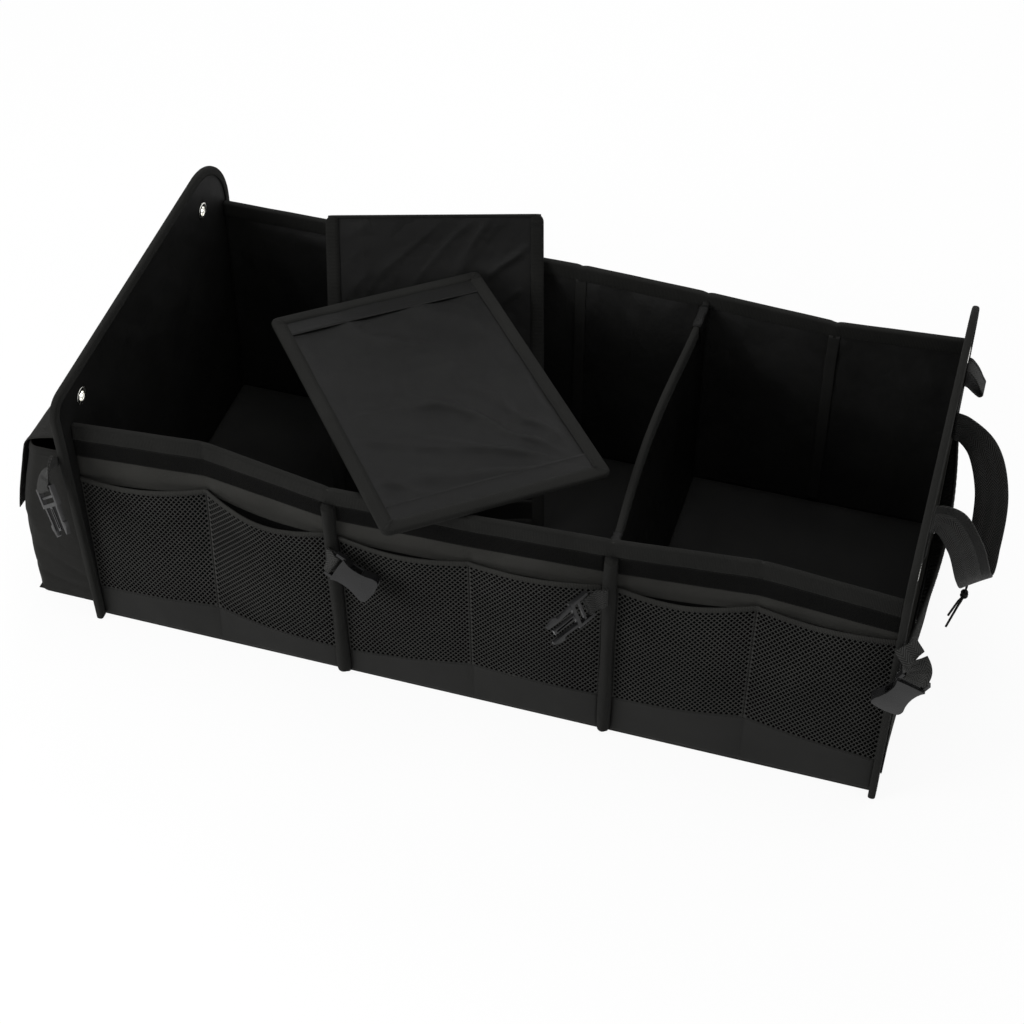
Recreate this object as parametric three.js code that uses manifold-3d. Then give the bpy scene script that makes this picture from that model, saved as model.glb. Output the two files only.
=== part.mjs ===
// Car trunk organizer: an open-topped fabric box of three sections, stiffened by boards, with
// dividers, pockets, webbing straps, half-buckles, a carry handle and a drawcord pocket.
// Millimetres. X runs along the box, Y to its back, Z up. The origin is under the middle of the base.
import * as THREE from 'three';
import { mergeVertices } from 'three/addons/utils/BufferGeometryUtils.js';
import Module from 'manifold-3d';

const wasm = await Module();
wasm.setup();

// Box
const bodyLength = 900;
const bodyWidth = 425;
const wallHeight = 290;
const wallThickness = 5;
const sectionCount = 3;
const clearance = 0.3;
const layerGap = 0.6;
const boardClearance = 1.2;
const baseSkinThickness = 1.5;
const baseBoardThickness = 4;

// Top of each fold line of the long walls, outward from upright, from the left end to the right end
const frontLean = [0, -13, 14, 10, 2, -13, 0];
const backLean = [0, 0, 3, 4, -3, -13, 0];

// End walls stand above the long walls and reach past them in front and behind
const endWallThickness = 5;
const endFrontReachBottom = 13;
const endFrontReachTop = 30;
const endBackReach = 13;
const endFrontHeight = 341;
const endBackHeight = 366;
const endFrontRadius = 26;
const endBackRadius = 78;
const eyeletHoleRadius = 5.5;
const eyeletBarrel = 0.8;
const eyeletFlangeRadius = 10;
const eyeletFromFrontEdge = 62;
const eyeletFromBackEdge = 74;
const eyeletBelowFrontEdge = 36;
const eyeletBelowBackEdge = 50;

// Bound edges and ribs
const tapeThickness = 1.2;
const topBindingDrop = 19;
const endBindingWidth = 10;
const ribWidth = 15;
const ribReach = 13;
const ribBottom = 2.5;

// Front pockets
const hookStripHeight = 23;
const hookStripThickness = 1.5;
const pocketThickness = 1.2;
const pocketBulge = 17;
const pocketSag = 9;
const pocketTopAtFold = [217, 229, 224, 210, 228, 243, 238];
const bandTopAtFold = [48, 56, 37, 62, 57, 71, 52];
const bandBottom = 4;
const pocketTapeHeight = 7;

// Dividers
const dividerLength = 378;
const dividerWidth = 251;
const dividerThickness = 4;
const dividerTapeWidth = 15;
const dividerSleeveWidth = 25;
const dividerSleeveProud = 0.7;
const dividerCorner = 9;
const dividerBow = 9;
const dividerEndRise = 24;
const leaningYaw = THREE.MathUtils.degToRad(17.7);
const leaningCorner = { x: 3, y: 58 };
const lyingYaw = THREE.MathUtils.degToRad(39.1);
const lyingCentre = { x: -92, y: -53 };

// Left cargo pocket, its outline seen from the front, outward from the end wall and up
const cargoWidth = 404;
const cargoThickness = 2;
const cargoDepthBottom = 85;
const cargoDepthBelly = 86;
const cargoDepthMouth = 61;
const cargoBellyHeight = 130;
const cargoMouthHeight = 235;
const cargoBottom = 3;
const flapWidth = 392;
const flapThickness = 2;
const flapSeamHeight = 254;
const flapSeamDepth = 18;
const flapHang = 106;
const flapEase = 3;

// Right pocket and its drawcord
const netPocketWidth = 372;
const netPocketHeight = 196;
const netPocketBulge = 16;
const netPocketThickness = 1.8;
const netHemHeight = 14;
const netHemThickness = 4;
const cordDiameter = 2.6;
const cordSpacing = 3.4;
const cordFall = 72;
const cordTail = 46;
const knotRadius = 4.2;
const lockRadius = 9;
const lockHeight = 20;
const lockButtonRadius = 5.2;
const lockButtonTravel = 3.5;
const lockButtonProud = 6;
const lockFloor = 2;
const springWire = 0.7;
const springTurns = 4;
const springLength = 4.5;

// Handle, straps and buckles
const handleWidth = 38;
const handleThickness = 2.4;
const handleSeatLength = 42;
const handleSpan = 148;
const handleSteps = 44;
const handleHeight = 279;
const handleStand = 66;
const handleDroop = 130;
const webbingWidth = 25;
const webbingThickness = 1.6;
const barRadius = 2;
const buckleWidth = 34;
const buckleThickness = 11;
const femaleLength = 46;
const waistHalfWidth = 11.5;
const ladderLength = 20;
const plateLength = 4;
const railTail = 2.5;
const prongLength = 34;
const strapSteps = 8;
const maleThickness = 5.5;
const buckleRail = 3.7;
const slotLength = 6.5;
const shellWall = 2;
const strapTuck = 0.7;
const tabInset = 30;

const up = new THREE.Vector3(0, 0, 1);
const sectionLength = bodyLength / sectionCount;
const halfLength = bodyLength / 2;
const halfWidth = bodyWidth / 2;
const foldPitch = bodyLength / (frontLean.length - 1);
const wallBottom = baseSkinThickness + clearance;
const wallTop = wallHeight - tapeThickness - layerGap;
const bindingBottom = wallHeight - topBindingDrop;
const floorTop = wallBottom + baseBoardThickness;
const innerEndX = halfLength - endWallThickness;
const outerEndX = halfLength + clearance;
const stepsInSection = 8;
const pocketSteps = 12;
const sectionNames = ['left', 'middle', 'right'];

const organizer = new THREE.Group();

const looks = {
  oxford: { color: 0x161615, roughness: 0.85, metalness: 0 },
  lining: { color: 0x0c0c0c, roughness: 0.45, metalness: 0 },
  nylon: { color: 0x121212, roughness: 0.4, metalness: 0 },
  tape: { color: 0x1a1a19, roughness: 0.9, metalness: 0 },
  hook: { color: 0x0a0a0a, roughness: 1, metalness: 0 },
  net: { color: 0x141413, roughness: 0.8, metalness: 0 },
  webbing: { color: 0x18181a, roughness: 0.75, metalness: 0 },
  plastic: { color: 0x1c1c1e, roughness: 0.35, metalness: 0 },
  steel: { color: 0xb9b9b6, roughness: 0.3, metalness: 1 },
  cord: { color: 0x101010, roughness: 0.7, metalness: 0 },
};

// Adds one named piece to a group
function addPiece(name, geometry, look, parent = organizer) {
  const material = new THREE.MeshStandardMaterial(looks[look]);
  const mesh = new THREE.Mesh(geometry, material);
  mesh.name = name;
  parent.add(mesh);
  return mesh;
}

// Moves every vertex of a geometry to the place that the function gives
function reshaped(geometry, place) {
  const positions = geometry.attributes.position;
  const point = new THREE.Vector3();
  for (let index = 0; index < positions.count; index += 1) {
    point.fromBufferAttribute(positions, index);
    const moved = place(point);
    positions.setXYZ(index, moved.x, moved.y, moved.z);
  }
  return geometry;
}

// Sweeps an outline through stations, each with an origin and the directions of the outline's x and y
function sweep(outline, stations, curveSegments = 6) {
  const steps = stations.length - 1;
  const geometry = new THREE.ExtrudeGeometry(outline, {
    depth: steps, steps, bevelEnabled: false, curveSegments,
  });
  return reshaped(geometry, (point) => {
    const { origin, across, out } = stations[Math.round(point.z)];
    return origin.clone().addScaledVector(across, point.x).addScaledVector(out, point.y);
  });
}

function asSolid(geometry) {
  const bare = geometry.clone();
  bare.deleteAttribute('normal');
  bare.deleteAttribute('uv');
  const merged = mergeVertices(bare, 1e-4);
  return new wasm.Manifold(new wasm.Mesh({
    numProp: 3,
    vertProperties: new Float32Array(merged.attributes.position.array),
    triVerts: new Uint32Array(merged.index.array),
  }));
}

function asGeometry(solid) {
  const mesh = solid.getMesh();
  const geometry = new THREE.BufferGeometry();
  geometry.setAttribute('position', new THREE.BufferAttribute(mesh.vertProperties, mesh.numProp));
  geometry.setIndex(new THREE.BufferAttribute(mesh.triVerts, 1));
  return geometry;
}

function cut(geometry, ...tools) {
  let solid = asSolid(geometry);
  for (const tool of tools) solid = solid.subtract(asSolid(tool));
  return asGeometry(solid);
}

function join(...geometries) {
  let solid = asSolid(geometries[0]);
  for (const geometry of geometries.slice(1)) solid = solid.add(asSolid(geometry));
  return asGeometry(solid);
}

// A box between two corners
function block(low, high, steps = [1, 1, 1]) {
  const size = [0, 1, 2].map((axis) => high[axis] - low[axis]);
  const middle = [0, 1, 2].map((axis) => (high[axis] + low[axis]) / 2);
  return new THREE.BoxGeometry(...size, ...steps).translate(...middle);
}

function rectangle(left, bottom, right, top) {
  const shape = new THREE.Shape();
  shape.moveTo(left, bottom);
  shape.lineTo(right, bottom);
  shape.lineTo(right, top);
  shape.lineTo(left, top);
  shape.closePath();
  return shape;
}

function roundedRectangle(width, height, radius) {
  const shape = new THREE.Shape();
  const x = width / 2 - radius;
  const y = height / 2 - radius;
  shape.absarc(x, y, radius, 0, Math.PI / 2);
  shape.absarc(-x, y, radius, Math.PI / 2, Math.PI);
  shape.absarc(-x, -y, radius, Math.PI, Math.PI * 1.5);
  shape.absarc(x, -y, radius, Math.PI * 1.5, Math.PI * 2);
  shape.closePath();
  return shape;
}

function extruded(shape, depth, curveSegments = 4) {
  return new THREE.ExtrudeGeometry(shape, { depth, bevelEnabled: false, curveSegments })
    .translate(0, 0, -depth / 2);
}

// A value between the entries of a list that holds one entry for each fold line
function atFold(list, x) {
  const place = THREE.MathUtils.clamp((x + halfLength) / foldPitch, 0, list.length - 1);
  const index = Math.min(Math.floor(place), list.length - 2);
  return THREE.MathUtils.lerp(list[index], list[index + 1], place - index);
}

// How far a long wall stands outward at a place. side is -1 for the front wall and 1 for the back wall.
function leanAt(side, x, z) {
  return atFold(side < 0 ? frontLean : backLean, x) * z / wallHeight;
}

// Share of the way between two seams of a pocket, 0 at each seam and 1 midway
function swellAcross(x, seams) {
  for (let index = 0; index < seams.length - 1; index += 1) {
    if (x <= seams[index + 1]) {
      const share = (x - seams[index]) / (seams[index + 1] - seams[index]);
      return Math.sin(Math.PI * THREE.MathUtils.clamp(share, 0, 1));
    }
  }
  return 0;
}

// Place of a step along a section, kept between two ends. Steps fall on the section's fold lines.
function stepAlong(index, step, steps, [x0, x1]) {
  return THREE.MathUtils.clamp(-halfLength + (index + step / steps) * sectionLength, x0, x1);
}

// A flat piece on a long wall in a section, from one distance off the wall's outer face to another
function onWall(side, index, ends, inner, outer, z0, z1, stepsUp) {
  const low = Math.min(side * (halfWidth + inner), side * (halfWidth + outer));
  const high = Math.max(side * (halfWidth + inner), side * (halfWidth + outer));
  const steps = [stepsInSection, 1, stepsUp];
  return reshaped(block([0, low, z0], [stepsInSection, high, z1], steps), (point) => {
    point.x = stepAlong(index, point.x, stepsInSection, ends);
    point.y += side * leanAt(side, point.x, point.z);
    return point;
  });
}

// Ends of a section along X, inside the end walls and short of the next section
function sectionEnds(index, gap) {
  const left = -halfLength + index * sectionLength;
  const right = left + sectionLength;
  const first = index === 0;
  const last = index === sectionCount - 1;
  return [first ? -innerEndX + gap : left + gap, last ? innerEndX - gap : right - gap];
}

// Base: one skin under everything, and a board in each section
function addBase() {
  const skin = block([-halfLength, -halfWidth, 0], [halfLength, halfWidth, baseSkinThickness]);
  addPiece('base_skin', skin, 'oxford');
  const boardHalfWidth = halfWidth - wallThickness - boardClearance;
  sectionNames.forEach((section, index) => {
    const [x0, x1] = sectionEnds(index, boardClearance);
    const board = block([x0, -boardHalfWidth, wallBottom], [x1, boardHalfWidth, floorTop]);
    addPiece(`base_board_${section}`, board, 'lining');
  });
}

// Long walls: a board in each section, creased at its middle
function addLongWalls() {
  for (const [face, side] of [['front', -1], ['back', 1]]) {
    sectionNames.forEach((section, index) => {
      const ends = sectionEnds(index, clearance);
      const wall = onWall(side, index, ends, -wallThickness, 0, wallBottom, wallTop, 8);
      addPiece(`${face}_wall_${section}`, wall, 'oxford');
    });
    addPiece(`${face}_top_binding`, topBinding(side), 'tape');
  }
}

// Tape folded over the top of a long wall, as a channel
function topBinding(side) {
  const outer = layerGap + tapeThickness;
  const channel = new THREE.Shape();
  channel.moveTo(outer, -topBindingDrop);
  channel.lineTo(outer, 0);
  channel.lineTo(-wallThickness - outer, 0);
  channel.lineTo(-wallThickness - outer, -topBindingDrop);
  channel.lineTo(-wallThickness - layerGap, -topBindingDrop);
  channel.lineTo(-wallThickness - layerGap, -tapeThickness);
  channel.lineTo(layerGap, -tapeThickness);
  channel.lineTo(layerGap, -topBindingDrop);
  channel.closePath();
  const end = innerEndX - clearance;
  const count = sectionCount * stepsInSection;
  const places = Array.from({ length: count + 1 }, (entry, index) => (
    THREE.MathUtils.clamp(-halfLength + bodyLength * index / count, -end, end)
  ));
  const stations = places.map((x) => ({
    origin: new THREE.Vector3(x, side * (halfWidth + leanAt(side, x, wallHeight)), wallHeight),
    across: new THREE.Vector3(0, side, 0),
    out: new THREE.Vector3(0, side * leanAt(side, x, wallHeight) / wallHeight, 1),
  }));
  return sweep(channel, side < 0 ? stations.reverse() : stations);
}

// Bound seam ribs, which stand out where two sections meet
function addRibs() {
  const profile = new THREE.Shape();
  const shoulder = ribReach - ribWidth / 2;
  profile.moveTo(-ribWidth / 2, layerGap);
  profile.lineTo(ribWidth / 2, layerGap);
  profile.lineTo(ribWidth / 2, shoulder);
  profile.absarc(0, shoulder, ribWidth / 2, 0, Math.PI);
  profile.closePath();
  for (const [face, side] of [['front', -1], ['back', 1]]) {
    for (const [name, x] of [['left', -sectionLength / 2], ['right', sectionLength / 2]]) {
      const stations = [ribBottom, bindingBottom - clearance].map((z) => ({
        origin: new THREE.Vector3(x, side * (halfWidth + leanAt(side, x, z)), z),
        across: new THREE.Vector3(1, 0, 0),
        out: new THREE.Vector3(0, side, 0),
      }));
      addPiece(`${face}_rib_${name}`, sweep(profile, side < 0 ? stations.reverse() : stations, 8), 'tape');
    }
  }
}

// Edges of the pocket sheets of a section, between the ribs or the end walls
function pocketEnds(index) {
  const ribEdge = ribWidth / 2 + clearance;
  const left = -halfLength + index * sectionLength;
  return [
    index === 0 ? -innerEndX + clearance : left + ribEdge,
    index === sectionCount - 1 ? innerEndX - clearance : left + sectionLength - ribEdge,
  ];
}

// How far a front pocket stands off the wall. Its sheet is sewn down at both ends and at the crease.
function pocketStandOff(x, z, seams) {
  const rise = THREE.MathUtils.clamp((z - bandBottom) / (atFold(pocketTopAtFold, x) - bandBottom), 0, 1);
  return layerGap + pocketBulge * swellAcross(x, seams) * Math.pow(rise, 0.7);
}

// A sheet of the front pockets through a list of height functions, from its bottom to its top
function pocketSheet(index, heights, inner, outer) {
  const ends = pocketEnds(index);
  const seams = [ends[0], -halfLength + (index + 0.5) * sectionLength, ends[1]];
  const rows = heights.length - 1;
  const steps = pocketSteps;
  return reshaped(block([0, -outer, 0], [steps, -inner, rows], [steps, 1, rows]), (point) => {
    point.x = stepAlong(index, point.x, steps, ends);
    const z = heights[Math.round(point.z)](point.x, seams);
    point.y -= halfWidth + pocketStandOff(point.x, z, seams) + leanAt(-1, point.x, z);
    point.z = z;
    return point;
  });
}

function pocketMouth(x, seams) {
  return atFold(pocketTopAtFold, x) - pocketSag * swellAcross(x, seams);
}

// Front of each section: hook strip, mesh pocket with its bound mouth, and smooth lower band
function addFrontPockets() {
  const bandTop = (x) => atFold(bandTopAtFold, x);
  const tapeBottom = (x, seams) => pocketMouth(x, seams) - pocketTapeHeight;
  const share = (part) => (x, seams) => (
    THREE.MathUtils.lerp(bandTop(x) + clearance, tapeBottom(x, seams), part)
  );
  const meshRows = [share(0), share(0.25), share(0.5), share(0.75), tapeBottom, pocketMouth];
  const bandRows = [() => bandBottom, (x) => (bandBottom + bandTop(x)) / 2, bandTop];
  sectionNames.forEach((section, index) => {
    const stripTop = bindingBottom - clearance;
    const stripBottom = stripTop - hookStripHeight;
    const stripFace = layerGap + hookStripThickness;
    const strip = onWall(-1, index, pocketEnds(index), layerGap, stripFace, stripBottom, stripTop, 1);
    addPiece(`hook_strip_${section}`, strip, 'hook');
    addPiece(`mesh_pocket_${section}`, pocketSheet(index, meshRows, 0, pocketThickness), 'net');
    addPiece(`lower_band_${section}`, pocketSheet(index, bandRows, 0, pocketThickness), 'nylon');
    const tapeFace = pocketThickness + clearance;
    const tape = pocketSheet(index, [tapeBottom, pocketMouth], tapeFace, tapeFace + tapeThickness);
    addPiece(`pocket_binding_${section}`, tape, 'tape');
  });
}

// Outline of an end wall in its own plane (Y, Z), drawn inward by an inset
function endOutline(inset) {
  const frontBottom = -halfWidth - endFrontReachBottom + inset;
  const frontTop = -halfWidth - endFrontReachTop + inset;
  const back = halfWidth + endBackReach - inset;
  const frontRadius = endFrontRadius - inset;
  const backRadius = endBackRadius - inset;
  const frontHeight = endFrontHeight - inset;
  const backHeight = endBackHeight - inset;
  const outline = new THREE.Shape();
  outline.moveTo(frontBottom, wallBottom);
  outline.lineTo(back, wallBottom);
  outline.lineTo(back, backHeight - backRadius);
  outline.absarc(back - backRadius, backHeight - backRadius, backRadius, 0, Math.PI / 2);
  outline.absarc(frontTop + frontRadius, frontHeight - frontRadius, frontRadius, Math.PI / 2, Math.PI);
  outline.closePath();
  return outline;
}

// Turns a solid drawn in (Y, Z) with its thickness along the third axis so that the thickness lies on X
function turnedToEnd(geometry, x) {
  return reshaped(geometry, (point) => new THREE.Vector3(x + point.z, point.x, point.y));
}

function eyeletPlaces() {
  const front = -halfWidth - endFrontReachTop;
  const back = halfWidth + endBackReach;
  return [
    { name: 'front', y: front + eyeletFromFrontEdge, z: endFrontHeight - eyeletBelowFrontEdge },
    { name: 'back', y: back - eyeletFromBackEdge, z: endBackHeight - eyeletBelowBackEdge },
  ];
}

function eyelet() {
  const half = endWallThickness / 2 + clearance + eyeletBarrel;
  const barrel = eyeletHoleRadius + eyeletBarrel;
  const profile = [
    [eyeletHoleRadius, -half], [eyeletFlangeRadius, -half], [eyeletFlangeRadius, -half + eyeletBarrel],
    [barrel, -half + eyeletBarrel], [barrel, half - eyeletBarrel], [eyeletFlangeRadius, half - eyeletBarrel],
    [eyeletFlangeRadius, half], [eyeletHoleRadius, half], [eyeletHoleRadius, -half],
  ].map(([radius, height]) => new THREE.Vector2(radius, height));
  return new THREE.LatheGeometry(profile, 16).rotateZ(Math.PI / 2);
}

// End walls with their bound edges and eyelets
function addEndWalls() {
  const holeRadius = eyeletHoleRadius + eyeletBarrel + clearance;
  const bindingDepth = endWallThickness + 2 * (clearance + tapeThickness);
  for (const [name, side] of [['left', -1], ['right', 1]]) {
    const middle = side * (halfLength - endWallThickness / 2);
    const outline = endOutline(tapeThickness + clearance);
    for (const { y, z } of eyeletPlaces()) {
      const hole = new THREE.Path();
      hole.absarc(y, z, holeRadius, 0, Math.PI * 2, true);
      outline.holes.push(hole);
    }
    addPiece(`end_wall_${name}`, turnedToEnd(extruded(outline, endWallThickness, 8), middle), 'oxford');

    const ring = extruded(endOutline(0), bindingDepth, 8);
    const window = extruded(endOutline(endBindingWidth), bindingDepth + 2, 8);
    const slot = extruded(endOutline(tapeThickness), endWallThickness + 2 * clearance, 8);
    const below = block([-bodyWidth, -wallHeight, -bindingDepth], [bodyWidth, ribBottom, bindingDepth]);
    addPiece(`end_binding_${name}`, turnedToEnd(cut(ring, window, slot, below), middle), 'tape');

    for (const place of eyeletPlaces()) {
      const mesh = addPiece(`eyelet_${name}_${place.name}`, eyelet(), 'steel');
      mesh.position.set(middle, place.y, place.z);
    }
  }
}

// Divider in place between the middle and right sections. It is lower between its ends, and bows.
function addDivider() {
  const x = sectionLength / 2;
  const bottom = floorTop + clearance;
  const reach = (side, z) => side * (halfWidth - wallThickness - boardClearance * 2 + leanAt(side, x, z));
  const rise = (share) => dividerWidth + dividerEndRise * Math.pow(Math.abs(2 * share - 1), 6);
  const bow = (share, z) => dividerBow * (1 - Math.pow(2 * share - 1, 2)) * z / wallHeight;
  const place = (share, height, offset) => {
    const z = bottom + height;
    return new THREE.Vector3(
      x + offset - bow(share, z),
      THREE.MathUtils.lerp(reach(-1, z), reach(1, z), share),
      z,
    );
  };
  const sheet = block([-dividerThickness / 2, 0, 0], [dividerThickness / 2, 1, 1], [1, 10, 3]);
  const tapeSpan = tapeThickness + clearance;
  addPiece('divider', reshaped(sheet, (point) => (
    place(point.y, point.z * (rise(point.y) - tapeSpan), point.x)
  )), 'nylon');

  const half = dividerThickness / 2;
  const channel = new THREE.Shape();
  channel.moveTo(half + tapeSpan, -dividerTapeWidth);
  channel.lineTo(half + tapeSpan, 0);
  channel.lineTo(-half - tapeSpan, 0);
  channel.lineTo(-half - tapeSpan, -dividerTapeWidth);
  channel.lineTo(-half - clearance, -dividerTapeWidth);
  channel.lineTo(-half - clearance, -tapeThickness);
  channel.lineTo(half + clearance, -tapeThickness);
  channel.lineTo(half + clearance, -dividerTapeWidth);
  channel.closePath();
  const stations = [];
  for (let index = 0; index <= 10; index += 1) {
    const share = index / 10;
    const crest = place(share, rise(share), 0);
    const foot = place(share, rise(share) - dividerTapeWidth, 0);
    stations.push({
      origin: crest,
      across: new THREE.Vector3(-1, 0, 0),
      out: crest.clone().sub(foot).divideScalar(dividerTapeWidth),
    });
  }
  addPiece('divider_binding', sweep(channel, stations), 'tape');
}

// A loose divider: a panel with a sleeve at both ends, and tape round its edge. It is drawn lying in
// its group's X and Z, X across and Z along, with its thickness along Y and its middle at the origin.
function addLooseDivider(name) {
  const holder = new THREE.Group();
  const stand = (geometry) => geometry.rotateX(Math.PI / 2);
  const tapeSpan = tapeThickness + clearance;
  const panelWidth = dividerWidth - 2 * tapeSpan;
  const panelLength = dividerLength - 2 * tapeSpan;
  const panelOutline = roundedRectangle(panelWidth, panelLength, dividerCorner - tapeSpan);
  const panel = extruded(panelOutline, dividerThickness);
  const windowWidth = dividerWidth - 2 * dividerTapeWidth;
  const windowLength = dividerLength - 2 * dividerTapeWidth;
  const sleeves = [-1, 1].map((end) => {
    const edge = end * (windowLength / 2 - clearance);
    const inner = edge - end * dividerSleeveWidth;
    const half = dividerThickness / 2 + dividerSleeveProud;
    return block(
      [-windowWidth / 2 + clearance, Math.min(edge, inner), -half],
      [windowWidth / 2 - clearance, Math.max(edge, inner), half],
    );
  });
  addPiece(name, stand(join(panel, ...sleeves)), 'nylon', holder);

  const depth = dividerThickness + 2 * tapeSpan;
  const ring = extruded(roundedRectangle(dividerWidth, dividerLength, dividerCorner), depth);
  const window = block(
    [-windowWidth / 2, -windowLength / 2, -depth], [windowWidth / 2, windowLength / 2, depth],
  );
  const slotWidth = panelWidth + 2 * clearance;
  const slotLong = panelLength + 2 * clearance;
  const slotOutline = roundedRectangle(slotWidth, slotLong, dividerCorner - tapeThickness);
  const slot = extruded(slotOutline, dividerThickness + 2 * clearance);
  addPiece(`${name}_binding`, stand(cut(ring, window, slot)), 'tape', holder);
  organizer.add(holder);
  return holder;
}

// The leaning divider stands on the floor and leans on the back rim with its right edge. The lying one
// rests on the front rim and on the face of the leaning one.
function addLooseDividers() {
  const halfDepth = dividerThickness / 2 + tapeThickness + clearance;
  const rest = clearance * 3;
  const rimX = leaningCorner.x - dividerWidth * 0.2;
  const rimY = halfWidth + leanAt(1, rimX, wallHeight) - wallThickness - layerGap - tapeThickness;
  const run = (rimY - leaningCorner.y) / Math.cos(leaningYaw);
  const climb = wallHeight - floorTop - rest - halfDepth;
  const lean = Math.atan2(climb, run) + Math.asin((halfDepth + rest) / Math.hypot(run, climb));
  const leaning = addLooseDivider('loose_divider_leaning');
  const along = new THREE.Vector3(
    -Math.sin(leaningYaw) * Math.cos(lean), Math.cos(leaningYaw) * Math.cos(lean), Math.sin(lean),
  );
  const across = new THREE.Vector3(Math.cos(leaningYaw), Math.sin(leaningYaw), 0);
  const foot = new THREE.Vector3(
    leaningCorner.x, leaningCorner.y, floorTop + rest + halfDepth * Math.cos(lean),
  );
  leaning.position.copy(foot)
    .addScaledVector(across, -dividerWidth / 2)
    .addScaledVector(along, dividerLength / 2);
  leaning.rotation.set(lean - Math.PI / 2, 0, leaningYaw, 'ZXY');

  const facing = across.clone().cross(along);
  const corner = new THREE.Vector3(
    lyingCentre.x + (dividerWidth * Math.cos(lyingYaw) - dividerLength * Math.sin(lyingYaw)) / 2,
    lyingCentre.y + (dividerWidth * Math.sin(lyingYaw) + dividerLength * Math.cos(lyingYaw)) / 2,
    0,
  );
  const faceOffset = facing.dot(foot) + halfDepth + rest;
  const cornerHeight = (faceOffset - facing.x * corner.x - facing.y * corner.y) / facing.z;
  const pivotX = lyingCentre.x + dividerWidth * 0.35;
  const pivotY = -(halfWidth + leanAt(-1, pivotX, wallHeight) - wallThickness - layerGap - tapeThickness);
  const tilt = Math.atan2(cornerHeight - wallHeight - rest, corner.y - pivotY);
  const lying = addLooseDivider('loose_divider_lying');
  lying.position.set(
    lyingCentre.x,
    lyingCentre.y,
    wallHeight + rest + halfDepth / Math.cos(tilt) + (lyingCentre.y - pivotY) * Math.tan(tilt),
  );
  const flat = new THREE.Quaternion().setFromAxisAngle(new THREE.Vector3(1, 0, 0), tilt);
  const turn = new THREE.Quaternion().setFromAxisAngle(up, lyingYaw);
  const layDown = new THREE.Quaternion().setFromAxisAngle(new THREE.Vector3(1, 0, 0), -Math.PI / 2);
  lying.quaternion.copy(flat.multiply(turn).multiply(layDown));
}

// Left cargo pocket, open at the top and against the end wall, with a flap over its mouth
function addCargoPocket() {
  const wallFace = -outerEndX;
  const outline = (inset, bottom, top) => {
    const shape = new THREE.Shape();
    shape.moveTo(wallFace, bottom);
    shape.lineTo(wallFace, top);
    shape.lineTo(-halfLength - cargoDepthMouth + inset, top);
    shape.lineTo(-halfLength - cargoDepthBelly + inset, cargoBellyHeight);
    shape.lineTo(-halfLength - cargoDepthBottom + inset, bottom);
    shape.closePath();
    return shape;
  };
  const stand = (geometry) => geometry.rotateX(Math.PI / 2);
  const shell = stand(extruded(outline(0, cargoBottom, cargoMouthHeight), cargoWidth));
  const hollow = stand(extruded(
    outline(cargoThickness, cargoBottom + cargoThickness, cargoMouthHeight), cargoWidth - 2 * cargoThickness,
  ));
  const lid = block(
    [-halfLength - cargoDepthMouth + cargoThickness, -cargoWidth / 2 + cargoThickness, cargoBellyHeight],
    [-halfLength, cargoWidth / 2 - cargoThickness, cargoMouthHeight + 5],
  );
  const backCut = block(
    [wallFace - 1, -cargoWidth / 2 + cargoThickness, cargoBottom + cargoThickness],
    [-halfLength, cargoWidth / 2 - cargoThickness, cargoMouthHeight + 5],
  );
  addPiece('cargo_pocket', cut(shell, hollow, lid, backCut), 'oxford');

  const mouthX = -halfLength - cargoDepthMouth;
  const slope = (cargoDepthBelly - cargoDepthMouth) / (cargoMouthHeight - cargoBellyHeight);
  const hangX = mouthX - flapHang * slope - flapEase * 1.5;
  const line = [
    [wallFace, flapSeamHeight - flapSeamDepth + flapEase * 2],
    [wallFace, flapSeamHeight - flapEase],
    [wallFace - flapEase, flapSeamHeight],
    [(wallFace + mouthX) / 2, flapSeamHeight - flapEase * 2],
    [mouthX, cargoMouthHeight + flapEase],
    [mouthX - flapEase * 1.5, cargoMouthHeight - flapEase],
    [(mouthX + hangX) / 2 - flapEase, cargoMouthHeight - flapHang / 2],
    [hangX, cargoMouthHeight - flapHang],
  ];
  addPiece('cargo_flap', sheetAlong(line, flapThickness, flapWidth), 'oxford');
}

// A sheet of even thickness that follows a line in X and Z, on the line's left as it is walked
function sheetAlong(line, thickness, width) {
  const points = line.map(([x, z]) => new THREE.Vector2(x, z));
  const outer = points.map((point, index) => {
    const before = points[Math.max(index - 1, 0)];
    const after = points[Math.min(index + 1, points.length - 1)];
    const way = after.clone().sub(before).normalize();
    return point.clone().add(new THREE.Vector2(way.y, -way.x).multiplyScalar(-thickness));
  });
  const shape = new THREE.Shape([...points, ...outer.reverse()]);
  return extruded(shape, width).rotateX(Math.PI / 2);
}

// Right pocket: a sheet that bellies out from the end wall, with a hem for the drawcord along its mouth
function addNetPocket() {
  const face = outerEndX;
  const seams = [-netPocketWidth / 2, netPocketWidth / 2];
  const standOff = (y, z) => (
    netPocketBulge * swellAcross(y, seams) * Math.pow(THREE.MathUtils.clamp(z / netPocketHeight, 0, 1), 0.6)
  );
  const sheet = block([face, seams[0], 0], [face + netPocketThickness, seams[1], 1], [1, 12, 4]);
  const hemBottom = netPocketHeight - netHemHeight;
  addPiece('net_pocket', reshaped(sheet, (point) => {
    const z = THREE.MathUtils.lerp(bandBottom, hemBottom, point.z);
    return new THREE.Vector3(point.x + standOff(point.y, z), point.y, z);
  }), 'net');
  const hem = block(
    [face, seams[0], hemBottom + clearance], [face + netHemThickness, seams[1], netPocketHeight], [1, 12, 1],
  );
  addPiece('net_pocket_hem', reshaped(hem, (point) => {
    point.x += standOff(point.y, hemBottom);
    return point;
  }), 'tape');
  return face + netPocketBulge + netHemThickness;
}

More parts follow.
